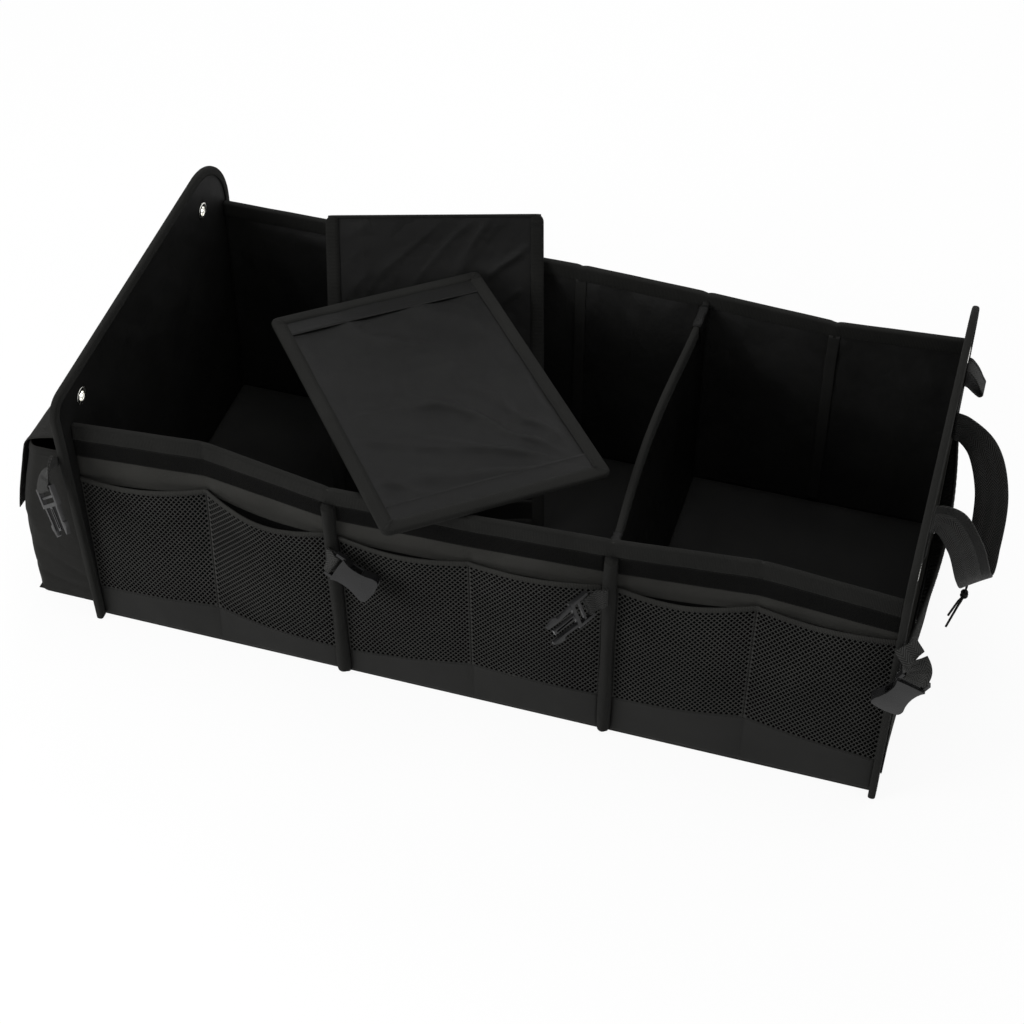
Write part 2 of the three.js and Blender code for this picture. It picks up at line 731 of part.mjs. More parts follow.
// Drawcord, cord lock, its button and its spring. The cords leave the hem outward, pass through the
// lock side by side, and fall to a knot with two tails.
function addDrawcord(hemFace) {
  const cordZ = netPocketHeight - netHemHeight / 2;
  const lockX = hemFace + clearance + lockRadius + 3;
  const knot = new THREE.Vector3(lockX + lockRadius + 7, -10, cordZ - cordFall);
  const cords = [-1, 1].map((side) => {
    const y = side * cordSpacing / 2;
    const path = new THREE.CatmullRomCurve3([
      new THREE.Vector3(hemFace + clearance, y, cordZ),
      new THREE.Vector3(lockX, y, cordZ),
      new THREE.Vector3(lockX + lockRadius, y, cordZ),
      new THREE.Vector3(lockX + lockRadius + 6, y, cordZ - 9),
      new THREE.Vector3(lockX + lockRadius + 8, y, cordZ - cordFall / 2),
      knot.clone().setY(knot.y + y * 0.6),
      new THREE.Vector3(knot.x - 5, knot.y + side * 5, knot.z - cordTail * 0.4),
      new THREE.Vector3(knot.x - 12, knot.y + side * 9, knot.z - cordTail),
    ]);
    const section = new THREE.Shape().absarc(0, 0, cordDiameter / 2, 0, Math.PI * 2);
    return new THREE.ExtrudeGeometry(section, { steps: 26, extrudePath: path, curveSegments: 4 });
  });
  const knotBall = new THREE.SphereGeometry(knotRadius, 10, 8).translate(knot.x, knot.y, knot.z);
  addPiece('drawcord', join(knotBall, ...cords), 'cord');

  const boreRadius = lockButtonRadius + clearance;
  const cordHeight = cordDiameter + 2 * clearance;
  const cordWidth = cordSpacing + cordDiameter + 2 * clearance;
  const lockHalf = lockHeight / 2;
  const profile = [
    [0, -lockHalf], [lockRadius - 3, -lockHalf], [lockRadius - 0.5, 3 - lockHalf], [lockRadius, 0],
    [lockRadius - 0.5, lockHalf - 3], [lockRadius - 3, lockHalf], [0, lockHalf],
  ].map(([radius, height]) => new THREE.Vector2(radius, height));
  const barrel = new THREE.LatheGeometry(profile, 20).rotateX(Math.PI / 2);
  const bore = new THREE.CylinderGeometry(boreRadius, boreRadius, lockHeight, 20).rotateX(Math.PI / 2)
    .translate(0, 0, lockFloor);
  const tunnel = block(
    [-lockRadius * 2, -cordWidth / 2, -cordHeight / 2], [lockRadius * 2, cordWidth / 2, cordHeight / 2],
  );
  const body = addPiece('cord_lock_body', cut(barrel, bore, tunnel), 'plastic');
  body.position.set(lockX, 0, cordZ);

  const buttonBottom = -lockHalf + lockFloor + springLength + clearance;
  const buttonTop = lockHalf + lockButtonProud;
  const stemLength = buttonTop - buttonBottom;
  const stem = new THREE.CylinderGeometry(lockButtonRadius, lockButtonRadius, stemLength, 20)
    .rotateX(Math.PI / 2).translate(0, 0, (buttonTop + buttonBottom) / 2);
  const eye = block(
    [-lockRadius, -cordWidth / 2, -cordHeight / 2],
    [lockRadius, cordWidth / 2, cordHeight / 2 + lockButtonTravel + 2 * clearance],
  );
  const button = addPiece('cord_lock_button', cut(stem, eye), 'plastic');
  button.position.copy(body.position);

  const springBottom = -lockHalf + lockFloor + clearance + springWire / 2;
  const springRise = springLength - clearance - springWire;
  const springRadius = lockButtonRadius - 1.2;
  const turns = [];
  for (let step = 0; step <= springTurns * 12; step += 1) {
    const angle = step * Math.PI / 6;
    const z = springBottom + springRise * step / (springTurns * 12);
    turns.push(new THREE.Vector3(springRadius * Math.cos(angle), springRadius * Math.sin(angle), z));
  }
  const wire = new THREE.Shape().absarc(0, 0, springWire / 2, 0, Math.PI * 2);
  const spring = addPiece('cord_lock_spring', new THREE.ExtrudeGeometry(wire, {
    steps: springTurns * 10, extrudePath: new THREE.CatmullRomCurve3(turns), curveSegments: 3,
  }), 'steel');
  spring.position.copy(body.position);
}

// Carry handle on the right end: webbing sewn flat at both ends, whose slack stands out, turns and
// droops. Each point is outward from the wall's face, along Y, and down from the seats.
function addHandle() {
  const face = outerEndX + handleThickness / 2;
  const half = handleSpan / 2;
  const seatEnd = half + handleSeatLength;
  const line = [
    [0, seatEnd, 0], [0, seatEnd - handleSeatLength / 2, 0], [0, half + 6, 0], [0, half + 3, 0],
    [0.03, half, 0], [0.2, 0.96 * half, 0], [0.6, 0.82 * half, 0.1], [0.92, 0.55 * half, 0.4],
    [1, 0.15 * half, 0.82], [1, -0.2 * half, 1], [0.92, -0.55 * half, 0.8], [0.66, -0.82 * half, 0.34],
    [0.3, -0.95 * half, 0.04], [0.1, -half, 0], [0, -half - 3, 0], [0, -half - 6, 0],
    [0, -seatEnd + handleSeatLength / 2, 0], [0, -seatEnd, 0],
  ].map(([out, y, fall]) => (
    new THREE.Vector3(face + out * handleStand, y, handleHeight - fall * handleDroop)
  ));
  const path = new THREE.CatmullRomCurve3(line);
  const turned = new THREE.Vector3(0.75, 0, 0.66);
  const stations = [];
  for (let index = 0; index <= handleSteps; index += 1) {
    const origin = path.getPointAt(index / handleSteps);
    const way = path.getTangentAt(index / handleSteps);
    const turn = THREE.MathUtils.smoothstep(origin.x, face + 0.1 * handleStand, face + 0.9 * handleStand);
    const across = up.clone().lerp(turned, turn);
    across.addScaledVector(way, -across.dot(way)).normalize();
    stations.push({ origin, across, out: way.clone().cross(across) });
  }
  const section = rectangle(-handleWidth / 2, -handleThickness / 2, handleWidth / 2, handleThickness / 2);
  addPiece('carry_handle', sweep(section, stations), 'webbing');
}

// A strap: doubled webbing from its seam to a loop round a buckle's bar, in the buckle's own
// directions, with the bar on X, outward on Y and the buckle along Z
function strapGeometry(seat, seatAcross, seatWay) {
  const loop = barRadius + clearance + webbingThickness;
  const ring = new THREE.Shape().absarc(0, 0, loop, 0, Math.PI * 2);
  ring.holes.push(new THREE.Path().absarc(0, 0, barRadius + clearance, 0, Math.PI * 2, true));
  const eye = reshaped(extruded(ring, webbingWidth, 10), (point) => (
    new THREE.Vector3(point.z, point.x, point.y)
  ));
  const reach = seat.length() / 3;
  const path = new THREE.CubicBezierCurve3(
    seat, seat.clone().addScaledVector(seatWay, reach),
    new THREE.Vector3(0, 0, -reach * 1.4), new THREE.Vector3(0, 0, -loop + webbingThickness / 2),
  );
  const stations = [];
  for (let index = 0; index <= strapSteps; index += 1) {
    const share = index / strapSteps;
    const way = path.getTangent(share);
    const twist = THREE.MathUtils.smoothstep(share, 0.15, 0.62);
    const across = seatAcross.clone().lerp(new THREE.Vector3(1, 0, 0), twist);
    across.addScaledVector(way, -across.dot(way)).normalize();
    stations.push({ origin: path.getPoint(share), across, out: way.clone().cross(across) });
  }
  const section = rectangle(-webbingWidth / 2, -webbingThickness, webbingWidth / 2, webbingThickness);
  return join(eye, sweep(section, stations));
}

// Round bar between two side rails, which the webbing goes round
function buckleBar() {
  const length = buckleWidth - 2 * clearance;
  return new THREE.CylinderGeometry(barRadius, barRadius, length, 12).rotateZ(Math.PI / 2);
}

function rails(length) {
  const half = maleThickness / 2;
  return [-1, 1].map((side) => {
    const outer = side * buckleWidth / 2;
    const inner = outer - side * buckleRail;
    return block([Math.min(outer, inner), -half, -railTail], [Math.max(outer, inner), half, length]);
  });
}

// Female half: a waisted shell that is open at its far end, with a window in each side for the prongs
function femaleGeometry() {
  const half = buckleThickness / 2;
  const start = slotLength;
  const end = slotLength + femaleLength;
  const wide = buckleWidth / 2 + 0.5;
  const shape = new THREE.Shape();
  shape.moveTo(-buckleWidth / 2, start);
  shape.quadraticCurveTo(0, start - 1, buckleWidth / 2, start);
  shape.bezierCurveTo(waistHalfWidth, start + 6, waistHalfWidth - 1, end - 24, wide, end - 10);
  shape.quadraticCurveTo(wide + 1, end - 4, wide - 2, end - 2);
  shape.quadraticCurveTo(0, end + 2, 2 - wide, end - 2);
  shape.quadraticCurveTo(-wide - 1, end - 4, -wide, end - 10);
  shape.bezierCurveTo(1 - waistHalfWidth, end - 24, -waistHalfWidth, start + 6, -buckleWidth / 2, start);
  const shell = extruded(shape, buckleThickness, 6).rotateX(Math.PI / 2);
  const inside = half - shellWall;
  const throat = waistHalfWidth - shellWall;
  const hollow = block([-throat, -inside, start + 8], [throat, inside, end + 4]);
  const mouth = block([shellWall - wide, -inside, end - 9], [wide - shellWall, inside, end + 4]);
  const windows = block([-buckleWidth, -inside, start + 11], [buckleWidth, inside, start + 24]);
  return cut(join(shell, ...rails(slotLength + 2), buckleBar()), hollow, mouth, windows);
}

// Male half: a ladder of two bars and a plate, two springy prongs, and a guide between them
function maleGeometry() {
  const half = maleThickness / 2;
  const inner = buckleWidth / 2 - buckleRail + 0.5;
  const plate = block([-inner, -half, ladderLength - plateLength], [inner, half, ladderLength]);
  const rung = block([-inner, -half + 1, ladderLength / 2 - 2], [inner, half - 1, ladderLength / 2 + 0.5]);
  const prongs = [-1, 1].map((side) => {
    const arm = new THREE.Shape();
    const reach = (distance, share) => [side * distance, share * prongLength];
    arm.moveTo(...reach(14.5, 0));
    arm.lineTo(...reach(11, 0));
    arm.lineTo(...reach(9.5, 0.55));
    arm.lineTo(...reach(10, 0.97));
    arm.lineTo(...reach(12, 1));
    arm.lineTo(...reach(16, 0.74));
    arm.lineTo(...reach(16, 0.6));
    arm.lineTo(...reach(12.8, 0.56));
    arm.closePath();
    return extruded(arm, maleThickness - 1).rotateX(Math.PI / 2).translate(0, 0, ladderLength - 1);
  });
  const guideEnd = ladderLength + prongLength * 0.8;
  const guide = block([-2.6, -half + 0.8, ladderLength - 1], [2.6, half - 0.8, guideEnd]);
  const groove = block([-1.2, -half, ladderLength + 2], [1.2, half, guideEnd - 3]);
  return cut(join(plate, rung, ...rails(ladderLength), buckleBar(), ...prongs, guide), groove);
}

// A strap and its buckle. The buckle turns about its bar. It points along one direction and faces
// another, and the strap runs from its seat in the seam to the bar.
function addBuckle(place, kind, pose) {
  const along = new THREE.Vector3(...pose.along).normalize();
  const outward = new THREE.Vector3(...pose.facing);
  outward.addScaledVector(along, -outward.dot(along)).normalize();
  const across = outward.clone().cross(along);
  const holder = new THREE.Group();
  holder.matrixAutoUpdate = false;
  holder.matrix.makeBasis(across, outward, along).setPosition(...pose.bar);
  const inward = holder.matrix.clone().invert();
  const seat = new THREE.Vector3(...pose.seat).applyMatrix4(inward);
  const seatAcross = new THREE.Vector3(...pose.seatAcross).transformDirection(inward);
  const seatWay = new THREE.Vector3(...pose.seatWay).transformDirection(inward);
  addPiece(`strap_${place}`, strapGeometry(seat, seatAcross, seatWay), 'webbing', holder);
  addPiece(`buckle_${place}`, kind === 'female' ? femaleGeometry() : maleGeometry(), 'plastic', holder);
  organizer.add(holder);
}

// Straps come out of the seams at the corners and of the two front ribs. Places are measured from the
// seam, from the front of the box and from its top.
function addBuckles() {
  const ribFace = (x, z) => -halfWidth - leanAt(-1, x, z) - ribReach - clearance;
  const at = (x, forward, below) => [x, -halfWidth - forward, wallHeight - below];
  const leftRib = -sectionLength / 2;
  const rightRib = sectionLength / 2;
  const leftRibSeat = wallHeight - 86;
  const rightRibSeat = wallHeight - 66;
  const leanRise = webbingWidth / 2;
  const cornerFace = halfLength + clearance + tapeThickness + clearance + webbingThickness;
  addBuckle('left_corner', 'male', {
    bar: at(-halfLength - 9, 48.5, 53), along: [0.5, -0.44, -0.75], facing: [-0.49, -0.86, 0.17],
    seat: at(-cornerFace, 24.5, 26), seatAcross: [0, -0.7, 0.7], seatWay: [0, -0.7, -0.7],
  });
  addBuckle('left_rib', 'female', {
    bar: at(leftRib + 8, 31.5, 88), along: [0.885, -0.08, -0.46], facing: [0.04, -1, 0.1],
    seat: [leftRib, ribFace(leftRib, leftRibSeat + leanRise), leftRibSeat],
    seatAcross: [0, 0, 1], seatWay: [0.15, -1, 0],
  });
  addBuckle('right_rib', 'male', {
    bar: at(rightRib - 16, 28.5, 68), along: [-0.53, -0.82, -0.22], facing: [0.79, -0.56, 0.21],
    seat: [rightRib, ribFace(rightRib, rightRibSeat + leanRise), rightRibSeat],
    seatAcross: [0, 0, -1], seatWay: [-0.3, -1, 0],
  });
  addBuckle('right_corner', 'female', {
    bar: at(halfLength + 18, 37.5, 63), along: [-0.49, -0.03, -0.87], facing: [0.13, -0.98, -0.12],
    seat: at(cornerFace - strapTuck, 28, 28), seatAcross: [0, -0.7, -0.7], seatWay: [0.6, -0.7, -0.4],
  });
}

// Short webbing tab at the back right corner
function addBackTab() {
  const face = outerEndX;
  const y = halfWidth - tabInset;
  const loop = [
    [0, 256], [3, 256], [10, 250], [20, 243], [25, 248], [16, 264], [3, 278], [0, 278],
  ];
  const outline = new THREE.Shape(loop.map(([out, z]) => new THREE.Vector2(face + out, z)));
  addPiece('back_tab', extruded(outline, webbingWidth).rotateX(Math.PI / 2).translate(0, y, 0), 'webbing');
}

addBase();
addLongWalls();
addRibs();
addFrontPockets();
addEndWalls();
addDivider();
addLooseDividers();
addCargoPocket();
addDrawcord(addNetPocket());
addHandle();
addBuckles();
addBackTab();

export default organizer;
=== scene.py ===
# Car trunk organizer: cloth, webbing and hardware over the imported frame
# Sizes in the dictionaries are millimetres; meshes are made in metres
import math
import random

import bmesh
import bpy
import numpy as np
from mathutils import Matrix, Vector, geometry, noise


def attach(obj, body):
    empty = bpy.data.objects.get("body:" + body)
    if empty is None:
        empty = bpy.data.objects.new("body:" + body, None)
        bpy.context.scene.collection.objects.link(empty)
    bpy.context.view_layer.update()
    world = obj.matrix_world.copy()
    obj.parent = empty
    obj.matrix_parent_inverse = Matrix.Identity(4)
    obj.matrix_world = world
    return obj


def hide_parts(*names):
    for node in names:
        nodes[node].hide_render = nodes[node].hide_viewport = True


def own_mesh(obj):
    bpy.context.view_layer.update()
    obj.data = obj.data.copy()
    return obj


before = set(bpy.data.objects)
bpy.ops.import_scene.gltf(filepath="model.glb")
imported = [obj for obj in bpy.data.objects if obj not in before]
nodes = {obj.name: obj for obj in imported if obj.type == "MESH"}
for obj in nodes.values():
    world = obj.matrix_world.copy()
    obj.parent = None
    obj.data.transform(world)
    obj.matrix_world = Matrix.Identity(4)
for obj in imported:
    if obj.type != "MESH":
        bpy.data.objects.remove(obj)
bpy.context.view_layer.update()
mm = 0.001
random.seed(7)
print("frame loaded:", len(nodes), "nodes")

box = {
    "length": 900, "width": 425, "height": 290, "wall": 5, "sections": 3,
    "frontLean": [0, -13, 14, 10, 2, -13, 0],  # top of each fold line, outward
    "backLean": [0, 0, 3, 4, -3, -13, 0],
    "floorTop": 5.8, "bindingDrop": 19, "tape": 1.2, "gap": 0.6, "clearance": 0.3,
}
halfLength = box["length"] / 2
halfWidth = box["width"] / 2
halfWall = box["wall"] / 2
sectionLength = box["length"] / box["sections"]
foldPitch = sectionLength / 2  # every section folds at its middle
rightFace = halfLength + box["clearance"]
sectionNames = ["left", "middle", "right"]


# Plain helpers

def clamp(x, low=0.0, high=1.0):
    return max(low, min(high, x))


def smooth(x, low, high):
    t = clamp((x - low) / (high - low))
    return t * t * (3 - 2 * t)


def mix(a, b, t):
    return a + (b - a) * t


def atFold(values, x):
    place = clamp((x + halfLength) / foldPitch, 0, len(values) - 1)
    index = min(int(place), len(values) - 2)
    return mix(values[index], values[index + 1], place - index)


def leanAt(side, x, z):
    return atFold(box["frontLean"] if side < 0 else box["backLean"], x) * z / box["height"]


def middleOf(index):
    return -halfLength + (index + 0.5) * sectionLength


def rumple(x, y, z=0.0, size=40.0, seed=0.0):
    # soft noise, about -1 to 1, with features of that many millimetres
    return noise.noise(Vector((x / size + seed * 3.7, y / size - seed * 1.9, z / size + seed)))


def fold(x, y, size, stretch, angle, seed):
    # sharp-crested drape folds, 0 to 1, long in one direction
    c, s = math.cos(angle), math.sin(angle)
    a, b = (x * c + y * s) / size, (-x * s + y * c) / (size * stretch)
    n = noise.noise(Vector((a + seed, b + 0.4 * math.sin(a), seed * 2.3)))
    return (1 - min(1.0, abs(n) * 2.6)) ** 2


def catmull(points, count):
    # centripetal Catmull-Rom through the points, evenly spaced along its length
    pts = [Vector(p) for p in points]
    ends = [pts[0] * 2 - pts[1]] + pts + [pts[-1] * 2 - pts[-2]]
    dense = []
    for i in range(1, len(ends) - 2):
        p0, p1, p2, p3 = ends[i - 1:i + 3]
        d = [max(1e-4, (b - a).length ** 0.5) for a, b in ((p0, p1), (p1, p2), (p2, p3))]
        m1 = (p1 - p0) / d[0] - (p2 - p0) / (d[0] + d[1]) + (p2 - p1) / d[1]
        m2 = (p2 - p1) / d[1] - (p3 - p1) / (d[1] + d[2]) + (p3 - p2) / d[2]
        m1, m2 = m1 * d[1], m2 * d[1]
        for k in range(24):
            t = k / 24
            dense.append(p1 + m1 * t + (p2 * 3 - p1 * 3 - m1 * 2 - m2) * t * t
                         + (p1 * 2 - p2 * 2 + m1 + m2) * t ** 3)
    dense.append(pts[-1])
    return evenly(dense, count)


def evenly(line, count):
    line = np.array([tuple(p) for p in line], float)
    step = np.concatenate([[0], np.cumsum(np.linalg.norm(np.diff(line, axis=0), axis=1))])
    at = np.linspace(0, step[-1], count + 1)
    return [Vector([np.interp(s, step, line[:, k]) for k in range(3)]) for s in at]


def lengthOf(line):
    return sum((b - a).length for a, b in zip(line, line[1:]))


# Mesh makers

def makePiece(name, points, faces, material, slotName, uvs=None, body="organizer", replaces=()):
    # a named piece from millimetre points, riding on a body
    pts = np.array([tuple(p) for p in points], float)
    volume = 0.0
    for f in faces:
        for k in range(1, len(f) - 1):
            volume += float(np.dot(pts[f[0]], np.cross(pts[f[k]], pts[f[k + 1]])))
    if volume < 0:
        faces = [tuple(reversed(f)) for f in faces]
    mesh = bpy.data.meshes.new(name)
    mesh.from_pydata((pts * mm).tolist(), [], [tuple(f) for f in faces])
    if uvs is not None:
        layer = mesh.uv_layers.new(name="cloth")
        index = np.zeros(len(mesh.loops), int)
        mesh.loops.foreach_get("vertex_index", index)
        layer.data.foreach_set("uv", np.array(uvs, np.float32)[index].ravel())
    mesh.polygons.foreach_set("use_smooth", [True] * len(mesh.polygons))
    mesh.validate()
    mesh.update()
    obj = bpy.data.objects.new(name, mesh)
    bpy.context.scene.collection.objects.link(obj)
    mesh.materials.append(material)
    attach(obj, body)
    if replaces:
        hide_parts(*replaces)
    return obj


def gridShell(name, place, columns, rows, thickness, material, slotName,
              bump=None, under=0.3, lip=0.35, **kind):
    # a sheet of cloth with a rounded rim: place(u, v) is on its outer face, u x v points outward
    us, vs = np.linspace(0, 1, columns + 1), np.linspace(0, 1, rows + 1)
    base = np.array([[tuple(place(u, v)) for u in us] for v in vs], float)
    normal = np.cross(np.gradient(base, axis=1), np.gradient(base, axis=0))
    normal /= np.maximum(np.linalg.norm(normal, axis=2, keepdims=True), 1e-9)
    push = np.zeros(base.shape[:2])
    if bump:
        push = np.array([[bump(u, v, base[r, c]) for c, u in enumerate(us)]
                         for r, v in enumerate(vs)])
    top = base + normal * push[..., None]
    bottom = base - normal * thickness + normal * (push * under)[..., None]
    lengthU = np.linalg.norm(np.diff(base, axis=1), axis=2).mean(0)
    lengthV = np.linalg.norm(np.diff(base, axis=0), axis=2).mean(1)
    alongU = np.concatenate([[0], np.cumsum(lengthU)]) * mm
    alongV = np.concatenate([[0], np.cumsum(lengthV)]) * mm
    uvGrid = np.stack(np.meshgrid(alongU, alongV), axis=2).reshape(-1, 2)
    wide, count = columns + 1, (columns + 1) * (rows + 1)
    rim = (list(range(wide))
           + [r * wide + columns for r in range(1, rows + 1)]
           + [rows * wide + c for c in range(columns - 1, -1, -1)]
           + [r * wide for r in range(rows - 1, 0, -1)])
    flatTop, flatBottom = top.reshape(-1, 3), bottom.reshape(-1, 3)
    middle = []
    for k in rim:
        r, c = divmod(k, wide)
        inner = base[clamp(r, 1, rows - 1), clamp(c, 1, columns - 1)]
        away = base[r, c] - inner
        away /= max(np.linalg.norm(away), 1e-9)
        middle.append((flatTop[k] + flatBottom[k]) / 2 + away * thickness * lip)
    points = np.concatenate([flatTop, flatBottom, middle])
    uvs = np.concatenate([uvGrid, uvGrid, uvGrid[rim]])
    faces = []
    for r in range(rows):
        for c in range(columns):
            a = r * wide + c
            quad = (a, a + 1, a + 1 + wide, a + wide)
            faces.append(quad)
            faces.append(tuple(k + count for k in reversed(quad)))
    n = len(rim)
    for k in range(n):
        a, b = rim[k], rim[(k + 1) % n]
        ma, mb = 2 * count + k, 2 * count + (k + 1) % n
        faces.append((ma, mb, b, a))
        faces.append((a + count, b + count, mb, ma))
    return makePiece(name, points, faces, material, slotName, uvs, **kind)


def sweepPiece(name, stations, section, material, slotName, ripple=None, closed=False, **kind):
    # a section of (across, out) points carried through stations of (origin, across, out)
    points, uvs, faces = [], [], []
    travel, last = 0.0, None
    ring = [Vector((a, b)) for a, b in (section(0) if callable(section) else section)]
    around = [0.0]
    for a, b in zip(ring, ring[1:]):
        around.append(around[-1] + (b - a).length)
    n = len(ring)
    for index, (origin, across, out) in enumerate(stations):
        if last is not None:
            travel += (origin - last).length
        last = origin
        shape = section(index) if callable(section) else section
        for k, (a, b) in enumerate(shape):
            if ripple:
                da, db = ripple(travel, a, b)
                a, b = a + da, b + db
            points.append(origin + across * a + out * b)
            uvs.append((travel * mm, around[k] * mm))
    count = len(stations)
    for s in range(count if closed else count - 1):
        for k in range(n):
            t = (s + 1) % count
            faces.append((s * n + k, s * n + (k + 1) % n, t * n + (k + 1) % n, t * n + k))
    if not closed:
        faces.append(tuple(reversed(range(n))))
        faces.append(tuple(range((count - 1) * n, count * n)))
    return makePiece(name, points, faces, material, slotName, uvs, **kind)


def roundedSection(width, thickness, steps=3):
    # a flat strip's section with rounded edges, anticlockwise
    r = thickness / 2
    half = width / 2 - r
    points = []
    for k in range(steps * 2 + 1):
        t = -math.pi / 2 + math.pi * k / (steps * 2)
        points.append((half + r * math.cos(t), r * math.sin(t)))
    points += [(half * f, r) for f in (0.5, 0, -0.5)]
    for k in range(steps * 2 + 1):
        t = math.pi / 2 + math.pi * k / (steps * 2)
        points.append((-half + r * math.cos(t), r * math.sin(t)))
    points += [(half * f, -r) for f in (-0.5, 0, 0.5)]
    return points


def channelSection(halfGap, tape, drop, corner=2.2):
    # tape folded over an edge, seen along the edge; b is 0 at the crest and runs down to -drop
    h = halfGap + tape
    points = [(halfGap, -drop), (halfGap + tape * 0.5, -drop - 0.25), (h, -drop + 0.3)]
    points += [(h + 0.12, -drop * 0.72), (h, -drop * 0.45)]
    for k in range(5):
        t = math.pi / 2 * k / 4
        points.append((h - corner + corner * math.cos(t), -corner + corner * math.sin(t)))
    points.append((0, 0.15))
    for k in range(5):
        t = math.pi / 2 + math.pi / 2 * k / 4
        points.append((-h + corner + corner * math.cos(t), -corner + corner * math.sin(t)))
    points += [(-h, -drop * 0.45), (-h - 0.12, -drop * 0.72), (-h, -drop + 0.3)]
    points += [(-halfGap - tape * 0.5, -drop - 0.25), (-halfGap, -drop)]
    points += [(-halfGap, -corner), (-halfGap + 0.6, -tape), (halfGap - 0.6, -tape), (halfGap, -corner)]
    return points


def netSheet(name, place, across, up, pitch, strand, thickness, material, slotName, **kind):
    # an open diamond mesh, laid on the surface place(u, v)
    nx = max(2, 2 * round(across / pitch[0]))
    ny = max(2, 2 * round(up / pitch[1]))
    points, uvs, faces, keep = [], [], [], {}

    def layer(u, v, raised):
        p = Vector(place(u, v))
        e = 0.004
        du = Vector(place(min(1, u + e), v)) - Vector(place(max(0, u - e), v))
        dv = Vector(place(u, min(1, v + e))) - Vector(place(u, max(0, v - e)))
        normal = du.cross(dv).normalized()
        first = len(points)
        points.append(p + normal * (thickness / 2 + raised))
        points.append(p - normal * (thickness / 2))
        uvs.extend([(u * across * mm, v * up * mm)] * 2)
        return first

    def knot(i, j):
        if (i, j) not in keep:
            keep[i, j] = layer(i / nx, j / ny, 0.25)
        return keep[i, j]

    def quad(*ring):
        faces.append(tuple(ring))
        faces.append(tuple(k + 1 for k in reversed(ring)))

    hole = 1 - 2 * strand / (pitch[0] * pitch[1] / math.hypot(*pitch))
    for j in range(ny + 1):
        for i in range(nx + 1):
            if (i + j) % 2 == 0:
                continue
            around = [(i - 1, j), (i, j - 1), (i + 1, j), (i, j + 1)]
            ring = [knot(a, b) for a, b in around if 0 <= a <= nx and 0 <= b <= ny]
            if len(ring) < 4:  # a half cell on the net's edge
                if len(ring) == 3:
                    quad(*ring)
                continue
            rim = []
            for k, (a, b) in enumerate(around):
                wob = 1 + 0.08 * rumple(i * 5.0, j * 5.0, k * 9.0, 7, 2)
                u = (i + (a - i) * hole * wob) / nx
                v = (j + (b - j) * hole * wob) / ny
                rim.append(layer(u, v, -0.1))
            for k in range(4):
                m = (k + 1) % 4
                quad(ring[k], ring[m], rim[m], rim[k])
                faces.append((rim[k], rim[m], rim[m] + 1, rim[k] + 1))
    edge = [(i, 0) for i in range(0, nx, 2)] + [(nx, j) for j in range(0, ny, 2)]
    edge += [(i, ny) for i in range(nx, 0, -2)] + [(0, j) for j in range(ny, 0, -2)]
    for (a, b) in zip(edge, edge[1:] + edge[:1]):
        p, q = knot(*a), knot(*b)
        faces.append((q, p, p + 1, q + 1))
    return makePiece(name, points, faces, material, slotName, uvs, **kind)


def inside(x, y, loop):
    odd = False
    for (x1, y1), (x2, y2) in zip(loop, loop[1:] + loop[:1]):
        if (y1 > y) != (y2 > y) and x < (x2 - x1) * (y - y1) / (y2 - y1) + x1:
            odd = not odd
    return odd


def platePiece(name, outline, holes, spacing, place, thickness, material, slotName,
               bump=None, **kind):
    # a cloth panel of any outline: place(a, b, c) gives the point c millimetres above the plane
    loops = [outline] + holes
    flat, edges = [], []
    for loop in loops:
        start = len(flat)
        flat += [Vector(p) for p in loop]
        edges += [(start + k, start + (k + 1) % len(loop)) for k in range(len(loop))]
    lowA, highA = min(p[0] for p in outline), max(p[0] for p in outline)
    lowB, highB = min(p[1] for p in outline), max(p[1] for p in outline)
    margin = spacing * 0.45
    border = np.array([tuple(p) for p in flat])
    b = lowB + spacing / 2
    row = 0
    while b < highB:
        a = lowA + spacing * (0.5 if row % 2 else 1.0)
        while a < highA:
            if inside(a, b, outline) and not any(inside(a, b, h) for h in holes):
                if np.min(np.hypot(border[:, 0] - a, border[:, 1] - b)) > margin:
                    flat.append(Vector((a, b)))
            a += spacing
        b += spacing * 0.87
        row += 1
    verts, _, tris, *_ = geometry.delaunay_2d_cdt(flat, edges, [], 0, 1e-4)
    good = []
    for t in tris:
        ca, cb = sum(verts[k][0] for k in t) / 3, sum(verts[k][1] for k in t) / 3
        if inside(ca, cb, outline) and not any(inside(ca, cb, h) for h in holes):
            good.append(tuple(t))
    used = {}
    for t in good:
        for a, b in ((t[0], t[1]), (t[1], t[2]), (t[2], t[0])):
            used[a, b] = used.get((a, b), 0) + 1
    rimEdges = [(a, b) for a, b in used if (b, a) not in used]
    n = len(verts)
    points, uvs = [], []
    for p in verts:
        high = bump(p[0], p[1]) if bump else 0.0
        points.append(place(p[0], p[1], high))
        uvs.append((p[0] * mm, p[1] * mm))
    for p in verts:
        points.append(place(p[0], p[1], -thickness))
        uvs.append((p[0] * mm, p[1] * mm))
    faces = good + [tuple(k + n for k in reversed(t)) for t in good]
    faces += [(b, a, a + n, b + n) for a, b in rimEdges]
    return makePiece(name, points, faces, material, slotName, uvs, **kind)


stitches = {}


